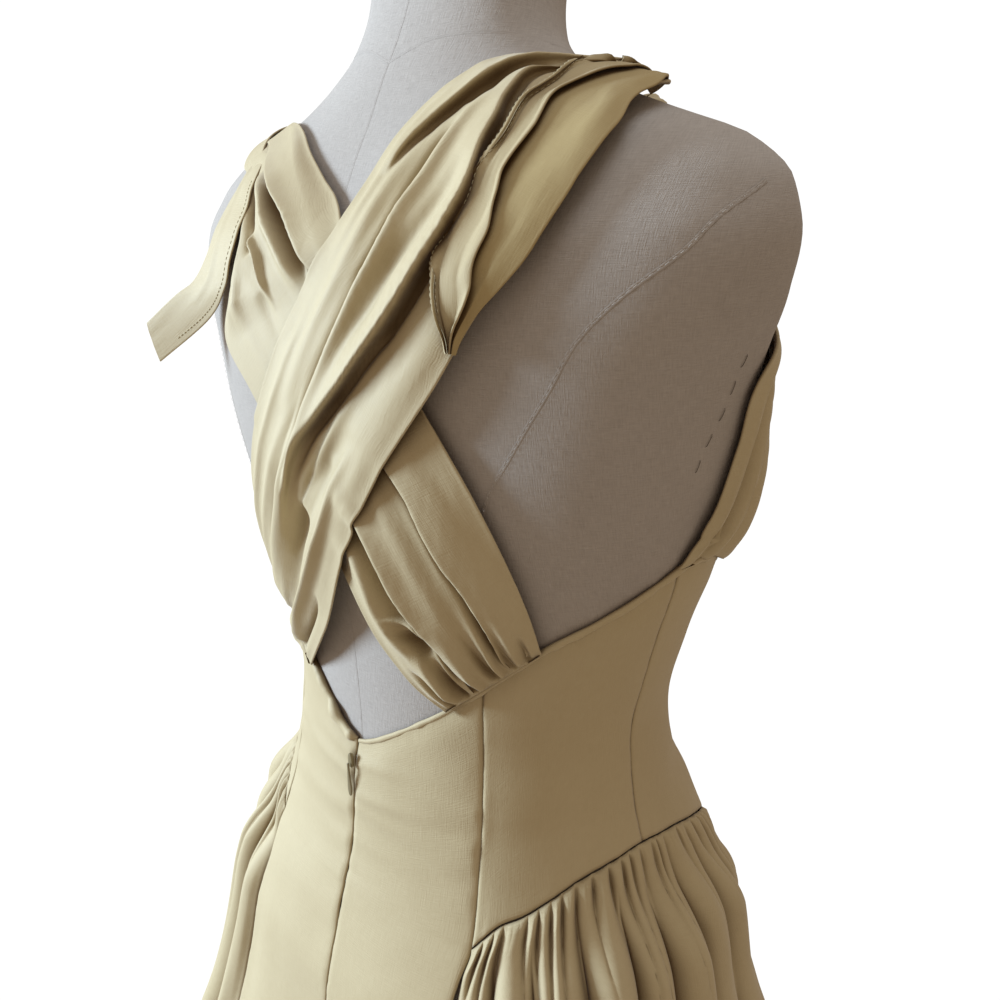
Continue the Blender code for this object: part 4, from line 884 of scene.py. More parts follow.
UNDER_CREASES = [
    # the outer band overlaps the middle one, and that overlaps the loose inner flap
    ("out", 1.30, [(0.0, 0.27, 0.32), (0.02, 0.275, 0.36), (0.06, 0.26, 0.42), (0.108, 0.245, 0.46), (0.144, 0.25, 0.50), (0.176, 0.275, 0.54),
                   (0.218, 0.28, 0.54), (0.256, 0.27, 0.52), (0.30, 0.285, 0.48), (0.40, 0.30, 0.34), (0.48, 0.30, 0.15), (0.54, 0.30, 0.0)]),
    ("out", 1.10, [(0.0, 0.655, 0.26), (0.03, 0.625, 0.42), (0.068, 0.595, 0.58), (0.114, 0.585, 0.70), (0.146, 0.60, 0.80), (0.166, 0.61, 0.86),
                   (0.198, 0.605, 0.92), (0.228, 0.60, 0.92), (0.262, 0.60, 0.84), (0.33, 0.60, 0.64), (0.42, 0.60, 0.3), (0.50, 0.60, 0.0)]),
    ("ridge", 0.55, [(0.05, 0.69, 0.0), (0.12, 0.70, -0.28), (0.20, 0.705, -0.40), (0.26, 0.70, -0.34), (0.34, 0.70, 0.0)]),
    ("ridge", 0.50, [(0.02, 0.85, 0.18), (0.094, 0.81, 0.36), (0.12, 0.825, 0.44), (0.162, 0.835, 0.46), (0.19, 0.82, 0.42), (0.232, 0.815, 0.32), (0.30, 0.82, 0.0)]),
    # rumples and pleats of the flap
    ("ridge", 0.30, [(0.096, 0.64, 0.0), (0.110, 0.655, 0.34), (0.125, 0.675, 0.50), (0.136, 0.72, 0.46), (0.144, 0.77, 0.30), (0.15, 0.80, 0.0)]),
    ("ridge", 0.30, [(0.080, 0.71, 0.0), (0.098, 0.71, -0.40), (0.113, 0.74, -0.46), (0.123, 0.78, -0.26), (0.135, 0.81, 0.0)]),
    ("ridge", 0.34, [(0.140, 0.68, 0.0), (0.156, 0.685, -0.30), (0.176, 0.70, -0.34), (0.20, 0.71, 0.0)]),
    ("groove", 0.24, [(0.0, 0.615, -0.60), (0.048, 0.60, -0.62), (0.086, 0.585, -0.42), (0.12, 0.58, 0.0)]),
    ("groove", 0.24, [(0.0, 0.74, -0.60), (0.032, 0.715, -0.62), (0.065, 0.70, -0.2), (0.08, 0.69, 0.0)]),
    ("ridge", 0.30, [(0.0, 0.675, 0.40), (0.03, 0.655, 0.46), (0.07, 0.64, 0.30), (0.10, 0.63, 0.0)]),
    ("ridge", 0.36, [(0.0, 0.81, 0.36), (0.03, 0.785, 0.46), (0.07, 0.765, 0.32), (0.10, 0.755, 0.0)]),
    ("groove", 0.24, [(0.0, 0.88, -0.46), (0.04, 0.88, -0.46), (0.08, 0.89, 0.0)]),
    ("groove", 0.22, [(0.0, 0.42, -0.50), (0.03, 0.415, -0.44), (0.07, 0.41, -0.2), (0.10, 0.41, 0.0)]),
    ("groove", 0.22, [(0.0, 0.23, -0.56), (0.03, 0.225, -0.54), (0.07, 0.215, -0.3), (0.11, 0.21, 0.0)]),
    ("groove", 0.20, [(0.0, 0.10, -0.40), (0.03, 0.10, -0.36), (0.06, 0.10, 0.0)]),
    ("ridge", 0.34, [(0.0, 0.33, 0.30), (0.03, 0.33, 0.32), (0.08, 0.33, 0.16), (0.13, 0.33, 0.0)]),
    ("ridge", 0.34, [(0.0, 0.51, 0.30), (0.03, 0.51, 0.32), (0.08, 0.51, 0.16), (0.13, 0.51, 0.0)]),
    ("ridge", 0.50, [(0.02, 0.44, 0.0), (0.08, 0.45, 0.10), (0.18, 0.45, 0.14), (0.30, 0.45, 0.12), (0.40, 0.45, 0.0)]),
    ("ridge", 0.45, [(0.10, 0.08, 0.0), (0.20, 0.10, -0.12), (0.32, 0.12, -0.12), (0.42, 0.12, 0.0)]),
    # above the crossing, towards the left shoulder: deep valley under the flat band, then looser folds
    ("out", 0.85, [(0.48, 0.21, 0.0), (0.52, 0.22, 0.46), (0.552, 0.225, 0.70), (0.586, 0.235, 0.86), (0.636, 0.27, 0.94), (0.67, 0.315, 0.92),
                   (0.708, 0.37, 0.84), (0.76, 0.44, 0.62), (0.82, 0.50, 0.38), (0.90, 0.56, 0.14)]),
    ("groove", 0.30, [(0.50, 0.29, 0.0), (0.54, 0.292, -0.40), (0.59, 0.305, -0.52), (0.64, 0.35, -0.52), (0.69, 0.43, -0.40), (0.74, 0.52, 0.0)]),
    ("ridge", 0.42, [(0.50, 0.345, 0.0), (0.528, 0.355, 0.34), (0.562, 0.37, 0.50), (0.604, 0.405, 0.60), (0.676, 0.515, 0.54), (0.752, 0.65, 0.36), (0.80, 0.74, 0.0)]),
    ("ridge", 0.17, [(0.52, 0.555, 0.0), (0.545, 0.55, 0.26), (0.574, 0.55, 0.36), (0.614, 0.58, 0.40), (0.656, 0.665, 0.36), (0.69, 0.74, 0.18), (0.715, 0.78, 0.0)]),
    ("groove", 0.24, [(0.64, 0.69, 0.0), (0.678, 0.72, -0.50), (0.72, 0.785, -0.62), (0.746, 0.80, -0.50), (0.78, 0.82, 0.0)]),
    ("ridge", 0.48, [(0.47, 0.61, 0.0), (0.496, 0.61, -0.34), (0.52, 0.605, -0.50), (0.535, 0.60, -0.40), (0.56, 0.60, 0.0)]),
    ("ridge", 0.50, [(0.42, 0.80, 0.0), (0.50, 0.80, 0.30), (0.58, 0.80, 0.24), (0.66, 0.87, 0.0)]),
]
UNDER_SEAM = [(0.07, 0.20, 0.14, 2.2), (0.17, 0.16, 0.20, 2.2), (0.33, 0.20, 0.28, 3.4), (0.385, 0.12, -0.26, 2.0), (0.44, 0.20, 0.30, 2.6),
              (0.53, 0.18, 0.24, 2.0), (0.93, 0.16, 0.16, 2.2)]

p, n, S, U, W = strap(STRAP_UNDER, 330, 130, UNDER_CREASES, UNDER_SEAM, seed=11, full=0.34, covered=(0.36, 0.12, 0.53, 0.07))
UNDER = p.copy()
sg = 1.0 if np.median((grid_normals(p) * n).sum(-1)) > 0 else -1.0
under_tree = (tree_of(p), -sg)
q, m = roll(p, n, 1, False, r=0.07, back=0.8)
q, m = roll(q, m, 1, True, r=0.07, back=0.8)
q, m = tuck(q, m, 0, False, 0.25)
made_under = piece(sheet_object("strap_under_cloth", q, CLOTH, m), "cloth", "strap_under")

p, n, S, U, W = strap(STRAP_OVER, 340, 140, OVER_CREASES, OVER_SEAM, seed=4, tree=under_tree, full=0.14)
OVER, OVER_N = p.copy(), n.copy()
sg = 1.0 if np.median((grid_normals(p) * n).sum(-1)) > 0 else -1.0
over_tree = (tree_of(p), -sg)
q, m = roll(p, n, 1, False, r=0.07, back=0.8)
q, m = roll(q, m, 1, True, r=0.07, back=0.8)
q, m = tuck(q, m, 0, False, 0.25)
made_over = piece(sheet_object("strap_over_cloth", q, CLOTH, m), "cloth", "strap_over")


# ------------------------------------------------------------------ bodice and skirt
def seam_dip(d, depth=0.10, reach=0.22):
    """How far cloth turns in beside a seam at distance d."""
    return -depth * np.exp(-(np.maximum(d, 0) / reach) ** 1.3)


def snug(d, along, seed, depth=0.13, wave=0.03):
    """The faced top edge is drawn towards the body and waves a little."""
    return -depth * np.exp(-(d / 0.9) ** 2) + wave * rough2(along / 1.3, np.full_like(along, 0.7), seed, 2) * np.exp(-d / 0.9)


def pucker(d, along, seed, high=0.022, reach=0.9):
    """Small ripples that a sewn seam draws into the cloth."""
    return high * rough2(along / 0.55, np.full_like(along, 0.3), seed, 2) * np.exp(-np.maximum(d, 0) / reach)


UPPER = np.linspace(0, 1, 74)
LOWER = np.concatenate([np.linspace(CORNER, -20, 46)[1:], np.linspace(-20, HEM, 84)[1:]])


def gore_wave(u, z, seed, front):
    """Soft flare folds of a centre panel; they die out at its seams."""
    v = np.clip((CORNER - z) / (CORNER - HEM), 0, 1)
    grow = smooth((v - 0.05) / 0.75)
    w = np.sin(np.pi * np.clip(u, 0, 1)) ** 0.8
    k = 1.15 * np.sin(2 * np.pi * (1.5 * u + 0.08 * np.sin(3 * v + seed)) + 0.6 + seed) * grow * w
    k += 0.5 * rough2(u * 3.1, v * 2.4, seed + 3, 2) * grow * w
    return k * (1.0 if not front else 1.1)


def long_panel(cols, front, side, seed):
    """Centre panel from the top edge to the hem; u is the share of the way to the long seam."""
    u = np.linspace(0, 1, cols) if not front else np.linspace(-1, 1, cols)
    top_rows = CORNER + (7.8 - CORNER) * (1 - UPPER)
    zs = np.concatenate([top_rows, LOWER])[:, None]
    phi = u[None, :] * gore_phi(zs)
    if front:
        phi = np.where(phi < 0, -180 - phi, 180 - phi)
    t = np.clip((7.8 - zs) / (7.8 - CORNER), 0, 1)
    z0 = top_edge(phi[:1])
    z = np.where(zs > CORNER - 1e-6, z0 + (CORNER - z0) * t, zs + 0 * z0)
    top = np.full_like(z, CORNER)
    p = below_waist(phi, z, top)
    n = outward(lambda a, b: below_waist(a, b, top), phi, z)
    across, down = arc(p, 1), arc(p, 0)
    uu = np.abs(u)[None, :] + 0 * z
    to_seam = across[:, -1:] - across if not front else np.minimum(across, across[:, -1:] - across)
    h = seam_dip(to_seam, 0.065, 0.13) + pucker(to_seam, z + 0.3 * seed, seed)
    if not front:
        h += seam_dip(across, 0.085, 0.11) + pucker(across, z + 5, seed + 1, 0.05, 1.3)
        # drag lines across the back waist, from the zip and from the long seam
        for zc, high, reach, tall, tilt in ((-0.4, 0.15, 4.6, 0.46, 0.06), (-1.9, 0.11, 5.8, 0.60, -0.04), (1.1, 0.11, 3.4, 0.40, 0.12),
                                            (-3.9, 0.085, 5.0, 0.66, 0.03), (-6.2, 0.07, 4.2, 0.75, -0.05), (-8.8, 0.06, 5.0, 0.9, 0.04), (-11.5, 0.06, 5.0, 1.1, 0.02)):
            zc = zc + 0.5 * side * math.sin(zc * 3.1)
            h += high * np.exp(-((z - zc - tilt * across) / tall) ** 2) * np.exp(-(across / reach) ** 2) * smooth(across / 0.5)
            h += 0.6 * high * np.exp(-((z - zc + 0.6 - tilt * to_seam) / tall) ** 2) * np.exp(-(to_seam / 2.4) ** 2) * smooth(to_seam / 0.5)
    h += snug(np.maximum(z0 - z, 0), across, seed + 2, 0.13, 0.07 if side < 0 else 0.03) * (z > CORNER)
    h += 0.05 * rough2(across / 4.5, z / 2.6, seed + 9, 2) * smooth(to_seam / 1.2)
    h += 0.16 * rough2(across / 5.0, z / 14.0, seed + 21, 2) * smooth(to_seam / 2.5) * smooth((-4 - z) / 12)
    h += gore_wave(uu if not front else (u[None, :] + 1) / 2 + 0 * z, z, seed, front)
    p = p + n * h[..., None]
    zz = p[..., 2]
    wave = 0.0
    return p, grid_normals(p, n), phi, z


def low_clear(p, lift=0.14):
    """Keeps cloth that lies on the form off it."""
    k = int((p[:, p.shape[1] // 2, 2] > FORM_END - 1).sum())
    p = p.copy()
    p[:k] = clear_of(p[:k], lift, FORM_TREE, soft=0.05, limit=0.2)
    return p


for tag, sd, side in (("r", 31, 1), ("l", 57, -1)):
    p, n, phi, z = long_panel(64, False, side, sd)
    if tag == "l":
        p, n = mirrored(p), mirrored(n) * 1.0
    q, m = tuck(*tuck(p, n, 1, False), 1, True)
    q, m = roll(q, m, 0, False, r=0.085, back=0.9)
    q, m = roll(q, m, 0, True, r=0.06, back=1.6)
    o = piece(sheet_object("centre_back_cloth_" + tag, q, CLOTH, m), "cloth", "cb_panel_" + tag)
    if tag == "r":
        CB = p
p, n, phi, z = long_panel(118, True, 0, 83)
q, m = tuck(*tuck(p, n, 1, False), 1, True)
q, m = roll(q, m, 0, False, r=0.085, back=0.9)
q, m = roll(q, m, 0, True, r=0.06, back=1.6)
piece(sheet_object("centre_front_cloth", q, CLOTH, m), "cloth", "cf_panel")

for is_front in (False, True):
    for tag, sd in (("r", 5), ("l", 8)):
        cols = np.linspace(0, 1, 64)[None, :]
        zs = (7.8 + (CORNER - 7.8) * UPPER)[:, None]
        t = (7.8 - zs) / (7.8 - CORNER)
        seam = gore_phi(zs)
        phi = SIDE_SEAM + cols * (180 - seam - SIDE_SEAM) if is_front else seam + cols * (SIDE_SEAM - seam)
        z0, z1 = top_edge(phi[:1]), low_edge(phi[-1:])
        z = z0 + (z1 - z0) * t
        p = on_form(phi, z, 0.36)
        n = outward(form_point, phi, z)
        across = arc(p, 1)
        a, b = across, across[:, -1:] - across
        down = arc(p, 0)
        low = down[-1:] - down
        h = seam_dip(a, 0.065, 0.13) + seam_dip(b, 0.065, 0.13) + seam_dip(low, 0.03, 0.12)
        h += pucker(a, z, sd + 3) + pucker(b, z, sd + 4) + pucker(low, across, sd + 6, 0.05, 1.0)
        h += snug(np.maximum(z0 - z, 0), across, sd + 2)
        h += 0.05 * rough2(across / 5.0, z / 3.4, sd, 2) * smooth(np.minimum(a, b) / 1.2)
        if not is_front:
            # soft shades where the panel bends over the waist
            h += 0.07 * np.exp(-((z - 1.6 - 0.10 * a) / 1.2) ** 2) * np.exp(-((a - 4.5) / 4.0) ** 2)
            h -= 0.05 * np.exp(-((z + 0.8 - 0.12 * a) / 1.0) ** 2) * np.exp(-((a - 5.5) / 4.0) ** 2)
        p = p + n * h[..., None]
        if tag == "l":
            p, n = mirrored(p), mirrored(n)
        q, m = tuck(*tuck(p, grid_normals(p, n), 1, False), 1, True)
        q, m = tuck(q, m, 0, True, 0.28)
        q, m = roll(q, m, 0, False, r=0.085, back=0.9)
        nm = "side_front" if is_front else "side_back"
        piece(sheet_object(nm + "_cloth_" + tag, q, CLOTH, m), "cloth", nm + "_" + tag)


def between(u, lines, power):
    """Round folds between valley lines; each line gives its place across at every row."""
    f = np.zeros_like(u)
    k = np.zeros(u.shape, int)
    for i in range(len(lines) - 1):
        a, b = lines[i], lines[i + 1]
        t = np.clip((u - a) / np.maximum(b - a, 1e-4), 0, 1)
        on = (u >= a) & (u < b)
        f = np.where(on, (4 * t * (1 - t)) ** power, f)
        k = np.where(on, i, k)
    return f, k


def gathered(tag, seed):
    """Side skirt: dense gathers in the slanted seam that run together into long folds."""
    rng = np.random.default_rng(seed)
    cols = 520
    u = np.linspace(0, 1, cols)[None, :]
    edge_phi = 45.8 + u * (134.2 - 45.8)
    z0 = low_edge(edge_phi)
    v = np.concatenate([np.linspace(0, 0.03, 16)[:-1], np.linspace(0.03, 0.12, 36)[:-1], np.linspace(0.12, 0.30, 34)[:-1], np.linspace(0.30, 1, 62)])[:, None]
    z = z0 + (HEM - z0) * v
    zz = CORNER + (HEM - CORNER) * v
    back = gore_phi(zz)
    phi = back + u * (180 - 2 * back)
    p = below_waist(phi, z, z0 + 0.0 * z)
    n = outward(lambda a, b: below_waist(a, b, z0 + 0.0 * z), phi, z)
    W = arc(p, 1)[:, -1:]
    down = z0 - z                         # cm below the seam
    uu = u + 0 * z
    # long folds: valleys half way between the crests of the table
    places = [f[0] + (rng.random() - 0.5) * 0.012 for f in SKIRT_FOLDS]
    highs = [f[2] for f in SKIRT_FOLDS]
    cuts = [0.0] + [0.5 * (places[i] + places[i + 1]) for i in range(len(places) - 1)] + [1.0]
    lines = []
    for i, c in enumerate(cuts):
        sway = 0.0 if i in (0, len(cuts) - 1) else 1.0
        lines.append(c + sway * (SKIRT_FOLDS[min(i, 10)][3] * v + 0.006 * np.sin(4.0 * v + 1.7 * i + seed) + 0.004 * np.sin(17 * v + 2.1 * i)))
    f, k = between(uu, lines, 0.85)
    start = 0.2 + 1.0 * rng.random(len(lines))
    high = np.array(highs)[np.clip(k, 0, 10)]
    rise = smooth((down - start[k]) / 5.0)
    ramp = rise * (0.46 + 0.54 * smooth((v - 0.05) / 0.75))
    h = high * ramp * f * 1.08
    # gathers in the seam: two or three to each long fold
    marks, owner = [0.0], []
    for i in range(len(cuts) - 1):
        parts = 2 + (rng.random() < 0.25)
        w = 0.55 + 0.9 * rng.random(parts)
        w = np.cumsum(w) / w.sum()
        for x in w:
            marks.append(cuts[i] + (cuts[i + 1] - cuts[i]) * x)
            owner.append(i)
    marks[-1] = 1.0
    fine = []
    for i, c in enumerate(marks):
        drift = 0.0 if i in (0, len(marks) - 1) else (rng.random() - 0.5) * 0.010
        fine.append(c + drift * smooth(down / 9) + (0 if i in (0, len(marks) - 1) else 0.0022) * np.sin(down * 0.8 + i))
    g, kk = between(uu, fine, 0.80)
    amp = (0.46 + 0.40 * rng.random(len(marks)))[kk] * (1 - 0.45 * smooth((uu - 0.35) / 0.12) * smooth((0.72 - uu) / 0.12))
    reach = (2.6 + 5.0 * rng.random(len(marks)) ** 1.6)[kk]
    fall = np.exp(-(down / reach) ** 1.6)
    h += amp * (g - 0.42) * (0.55 + 0.45 * smooth(down / 1.2)) * fall
    # short crimps right at the stitching
    crimp = []
    c = 0.0
    while c < 1.0:
        crimp.append(c + 0 * z)
        c += 0.008 + 0.010 * rng.random()
    crimp.append(1.0 + 0 * z)
    g, kk = between(uu, crimp, 0.6)
    h += (0.02 + 0.07 * rng.random(len(crimp)) ** 1.5)[kk] * g * np.exp(-(down / (0.5 + 0.7 * rng.random(len(crimp))[kk])) ** 1.5)
    # drag ripples and softness
    h += 0.06 * rough2(uu * W / 1.3, down / 6.5, seed + 2, 2) * smooth(down / 2)
    h += 0.20 * rough2(uu * W / 5.0, down / 20.0, seed + 7, 2) * smooth(down / 14)
    h -= 1.35 * smooth((v - 0.16) / 0.35) * np.sin(np.pi * u) ** 0.5
    h -= 0.62 * smooth(down / 3.0) * (1 - 0.5 * smooth((v - 0.2) / 0.5))
    a, b = uu * W, (1 - uu) * W
    h = np.where(h > 0, h * smooth(np.minimum(a, b) / 0.9 + 0.25), h) * np.where(uu > 0.5, smooth(b / 1.5), 1 - smooth((down - 8) / 12) * (1 - smooth(a / 1.5)))
    h += seam_dip(np.minimum(a, b), 0.065, 0.13)
    h = h * smooth((down + 0.06) / 0.40) - 0.025 * np.exp(-(down / 0.10) ** 2)
    t = np.gradient(p, axis=1)
    t /= np.maximum(np.linalg.norm(t, axis=-1, keepdims=True), 1e-9)
    # the crests lean a little over their valleys
    lean = blur(np.gradient(f * high * ramp, axis=1), 1, 3)
    lean = -lean / (np.abs(lean).max() + 1e-9)
    p = p + n * h[..., None] + t * (0.30 * lean * smooth(np.minimum(a, b) / 3.0))[..., None]
    p[..., 2] = z + 0.18 * smooth(v) * np.sin(9 * u + seed)
    if tag == "l":
        p, n = mirrored(p), mirrored(n)
    return p, n


for tag, sd in (("r", 20), ("l", 43)):
    p, n = gathered(tag, sd)
    p = low_clear(p)
    q, m = tuck(*tuck(p, grid_normals(p, n), 1, False), 1, True)
    q, m = tuck(q, m, 0, False, 0.24)
    q, m = roll(q, m, 0, True, r=0.06, back=1.6)
    piece(sheet_object("side_skirt_cloth_" + tag, q, CLOTH, m), "cloth", "side_skirt_" + tag)

# ------------------------------------------------------------------ rolled top edge of the bodice
def edge_roll(name, a, b, radius, seed, wave):
    """The turned top edge: a soft uneven roll where the facing folds over."""
    ph = np.linspace(a, b, 900)
    side = np.sign(b - a + 1e-9) if a < b else -1
    base = on_form(ph, top_edge(ph) - 0.03, 0.15)
    path = resample(base, 0.09)
    ph2 = np.degrees(np.arctan2(-path[:, 0], path[:, 1]))
    nn = outward(form_point, ph2, path[:, 2])
    s_ = np.arange(len(path)) * 0.09
    r = (radius(ph2) if callable(radius) else radius) * (1 + 0.24 * rough2(s_ / 1.1, np.zeros_like(s_) + 0.4, seed, 2))
    path = path + nn * (wave * rough2(s_ / 2.3, np.zeros_like(s_) + 2.2, seed + 3, 2) + np.maximum(r - 0.15, 0) * 0.8)[:, None]
    path[:, 2] += wave * 0.5 * rough2(s_ / 1.7, np.zeros_like(s_) + 5.2, seed + 6, 2)
    v, f = tube(path, r, 14, normals=nn, flat=0.80)
    o = faces_object(name, v, f, CLOTH)
    uvl = o.data.uv_layers.new(name="cloth")
    li = np.array([l.vertex_index for l in o.data.loops])
    i, j = li // 14, li % 14
    uvl.data.foreach_set("uv", np.stack([j * 0.0006 + 0.002 * np.sin(i * 0.01), i * 0.0009], -1).astype(np.float32).ravel())
    return piece(o, "cloth")


edge_roll("top_edge_roll_r", 0.6, 96.0, lambda a: 0.15 + 0.05 * smooth((a - 42) / 8), 5, 0.04)
edge_roll("top_edge_roll_front", 96.0, 264.0, 0.115, 6, 0.015)
edge_roll("top_edge_roll_l", -96.0, -0.6, lambda a: 0.14 + 0.16 * np.exp(-((np.abs(a) - 44) / 6.0) ** 2) + 0.17 * smooth((49 - np.abs(a)) / 5) * smooth((np.abs(a) - 0.5) / 3.5) * (1 + 0.30 * np.sin(np.abs(a) * 0.55)), 12, 0.17)

# ------------------------------------------------------------------ bust cups
CUP_CREASES = [
    ("ridge", 0.30, [(0.0, 0.014, 0.20), (0.20, 0.020, 0.26), (0.40, 0.030, 0.26), (0.55, 0.05, 0.20), (0.8, 0.1, 0.1)]),
    ("groove", 0.26, [(0.0, 0.040, -0.30), (0.10, 0.046, -0.50), (0.25, 0.052, -0.56), (0.40, 0.070, -0.40), (0.55, 0.11, 0.0)]),
    ("ridge", 0.36, [(0.0, 0.075, 0.20), (0.12, 0.080, 0.40), (0.25, 0.088, 0.44), (0.40, 0.11, 0.34), (0.60, 0.17, 0.20), (0.85, 0.26, 0.12)]),
    ("groove", 0.26, [(0.0, 0.110, -0.20), (0.15, 0.118, -0.42), (0.30, 0.130, -0.44), (0.42, 0.16, -0.24), (0.6, 0.22, 0.0)]),
    ("ridge", 0.60, [(0.0, 0.17, 0.24), (0.12, 0.175, 0.56), (0.25, 0.185, 0.60), (0.40, 0.22, 0.44), (0.60, 0.28, 0.24), (0.85, 0.34, 0.14)]),
    ("in", 0.9, [(0.02, 0.27, 0.18), (0.2, 0.29, 0.34), (0.4, 0.34, 0.34), (0.6, 0.40, 0.28), (0.9, 0.45, 0.16)]),
    ("ridge", 0.70, [(0.0, 0.42, 0.22), (0.15, 0.43, 0.40), (0.35, 0.46, 0.34), (0.55, 0.50, 0.24), (0.7, 0.52, 0.0)]),
    ("in", 0.9, [(0.0, 0.53, 0.20), (0.18, 0.54, 0.36), (0.4, 0.57, 0.34), (0.65, 0.60, 0.26), (0.9, 0.62, 0.15)]),
    ("ridge", 0.60, [(0.0, 0.68, 0.20), (0.15, 0.68, 0.34), (0.3, 0.70, 0.22), (0.45, 0.72, 0.0)]),
    ("in", 0.8, [(0.0, 0.79, 0.20), (0.2, 0.79, 0.32), (0.45, 0.80, 0.30), (0.7, 0.80, 0.22), (0.9, 0.80, 0.12)]),
    ("ridge", 0.45, [(0.0, 0.90, 0.16), (0.2, 0.90, 0.22), (0.5, 0.91, 0.18), (0.8, 0.92, 0.1)]),
]
CUP_SEAM = [(k / 17 + 0.03 * math.sin(5.1 * k), 0.26, 0.16 + 0.06 * math.sin(2.3 * k), 2.0 + 1.2 * (k % 3)) for k in range(1, 17)]
for tag, sd in (("r", 71), ("l", 77)):
    rows, cols = 150, 120
    s = np.linspace(0, 1, rows) * CUP[-1, 0]
    c = [catmull(s, CUP[:, 0], CUP[:, i]) for i in range(1, 7)]
    u = np.linspace(0, 1, cols)[None, :]
    phi = c[0][:, None] * (1 - u) + c[3][:, None] * u
    z = c[1][:, None] * (1 - u) + c[4][:, None] * u
    k = np.clip(1 - s / 0.30, 0, 1)[:, None] ** 1.5
    z = z + k * (top_edge(phi) + 0.06 - (c[1][0] * (1 - u) + c[4][0] * u))
    lift = c[2][:, None] * (1 - u) + c[5][:, None] * u
    base = on_form(phi, z, lift * 0.72)
    n = outward(form_point, phi, z)
    W = arc(base, 1)[:, -1:]
    S, U = np.broadcast_to(s[:, None] / s[-1], z.shape), np.broadcast_to(u, z.shape)
    cre = [(a, b, [(x, y + (0.012 if tag == "l" else 0), g) for x, y, g in line]) for a, b, line in CUP_CREASES]
    h, shift = crease_field(S, U, W, cre)
    L = arc(base, 0)
    for place, half, high, reach in CUP_SEAM:
        d = (U - place) * W
        h += high * np.exp(-(d / (half * (1 + 0.12 * L))) ** 2) * np.exp(-(L / reach) ** 1.4)
    h += 0.10 * rough2(U * W / 2.8, L / 8.0, sd, 2) * smooth(U / 0.06) * smooth((1 - U) / 0.06)
    h += seam_dip(L, 0.16, 0.25)
    t = np.gradient(base, axis=1)
    t /= np.maximum(np.linalg.norm(t, axis=-1, keepdims=True), 1e-9)
    p = base + n * (h * smooth((1.03 - S) / 0.1))[..., None] + t * (shift * smooth(U / 0.05) * smooth((1 - U) / 0.05))[..., None]
    p = clear_of(p, 0.14, FORM_TREE, soft=0.06, limit=0.3)
    if tag == "l":
        p, n = mirrored(p), mirrored(n)
    q, m = roll(p, grid_normals(p, n), 1, False, r=0.09, back=0.8)
    q, m = roll(q, m, 1, True, r=0.07, back=0.8)
    q, m = tuck(q, m, 0, False, 0.2)
    piece(sheet_object("cup_cloth_" + tag, q, CLOTH, m), "cloth", "cup_" + tag)

# ------------------------------------------------------------------ knots and tie ends
for tag, sgn in (("r", 1), ("l", -1)):
    c0 = on_form(KNOT["phi"], KNOT["z"], KNOT["lift"])
    e3 = outward(form_point, np.array(KNOT["phi"]), np.array(KNOT["z"]))
    e2 = np.cross(e3, [0, 1, 0])
    e2 /= np.linalg.norm(e2)
    e1 = np.cross(e2, e3)
    parts = []
    # a core and two turns of cloth wrapped over it
    a = np.linspace(0, 2 * np.pi, 61)[:-1]
    b = np.linspace(0.02, np.pi - 0.02, 36)
    A, B = np.meshgrid(a, b)
    k = 1 + 0.07 * np.sin(3 * A + 2.2 * B) + 0.05 * np.sin(7 * A - 3 * B) + 0.03 * np.sin(13 * A + B)
    core = (c0 + e1 * (0.86 * np.sin(B) * np.cos(A) * k)[..., None] + e2 * (0.95 * np.sin(B) * np.sin(A) * k)[..., None]
            + e3 * (0.66 * np.cos(B) * k)[..., None])
    parts.append((core, "core"))
    for turn, (tilt, wide, rad) in enumerate(((0.25, 0.52, 0.98), (-0.9, 0.42, 1.02))):
        tt = np.linspace(0, 2 * np.pi, 81)[:-1]
        ww = np.linspace(0, 2 * np.pi, 25)[:-1]
        T, V = np.meshgrid(tt, ww)
        d1 = e1 * math.cos(tilt) + e2 * math.sin(tilt)
        d2 = e3
        ax = np.cross(d1, d2)
        ring = (d1 * (rad * 0.80 * np.cos(T))[..., None] + d2 * (rad * 0.62 * np.sin(T))[..., None])
        out = ring / np.linalg.norm(ring, axis=-1, keepdims=True)
        r1 = wide * (1 + 0.10 * np.sin(2 * T + turn)) * np.sin(V)
        r2 = 0.15 * (1 + 0.35 * np.cos(5 * V + 2 * np.sin(T))) * np.cos(V)
        parts.append((c0 + ring + ax * r1[..., None] + out * (r2 + 0.05)[..., None], "turn"))
    verts, faces = [], []
    for g, kind in parts:
        r_, c_ = g.shape[:2]
        base = sum(len(x) for x in verts)
        g = g.reshape(-1, 3).copy()
        g[:, 0] *= sgn
        verts.append(g)
        for i in range(r_ - 1 if kind == "core" else r_):
            for j in range(c_):
                faces.append((base + i * c_ + j, base + i * c_ + (j + 1) % c_,
                              base + ((i + 1) % r_) * c_ + (j + 1) % c_, base + ((i + 1) % r_) * c_ + j))
        if kind == "core":
            faces.append(tuple(base + j for j in range(c_)))
            faces.append(tuple(base + (r_ - 1) * c_ + j for j in reversed(range(c_))))
    o = faces_object("knot_cloth_" + tag, np.concatenate(verts), faces, CLOTH)
    uvl = o.data.uv_layers.new(name="cloth")
    co = np.array([v.co for v in o.data.vertices])
    li = np.array([l.vertex_index for l in o.data.loops])
    uvl.data.foreach_set("uv", np.stack([co[li, 0] + co[li, 2], co[li, 1] + co[li, 2]], -1).astype(np.float32).ravel())
    piece(o, "cloth", "knot_" + tag)

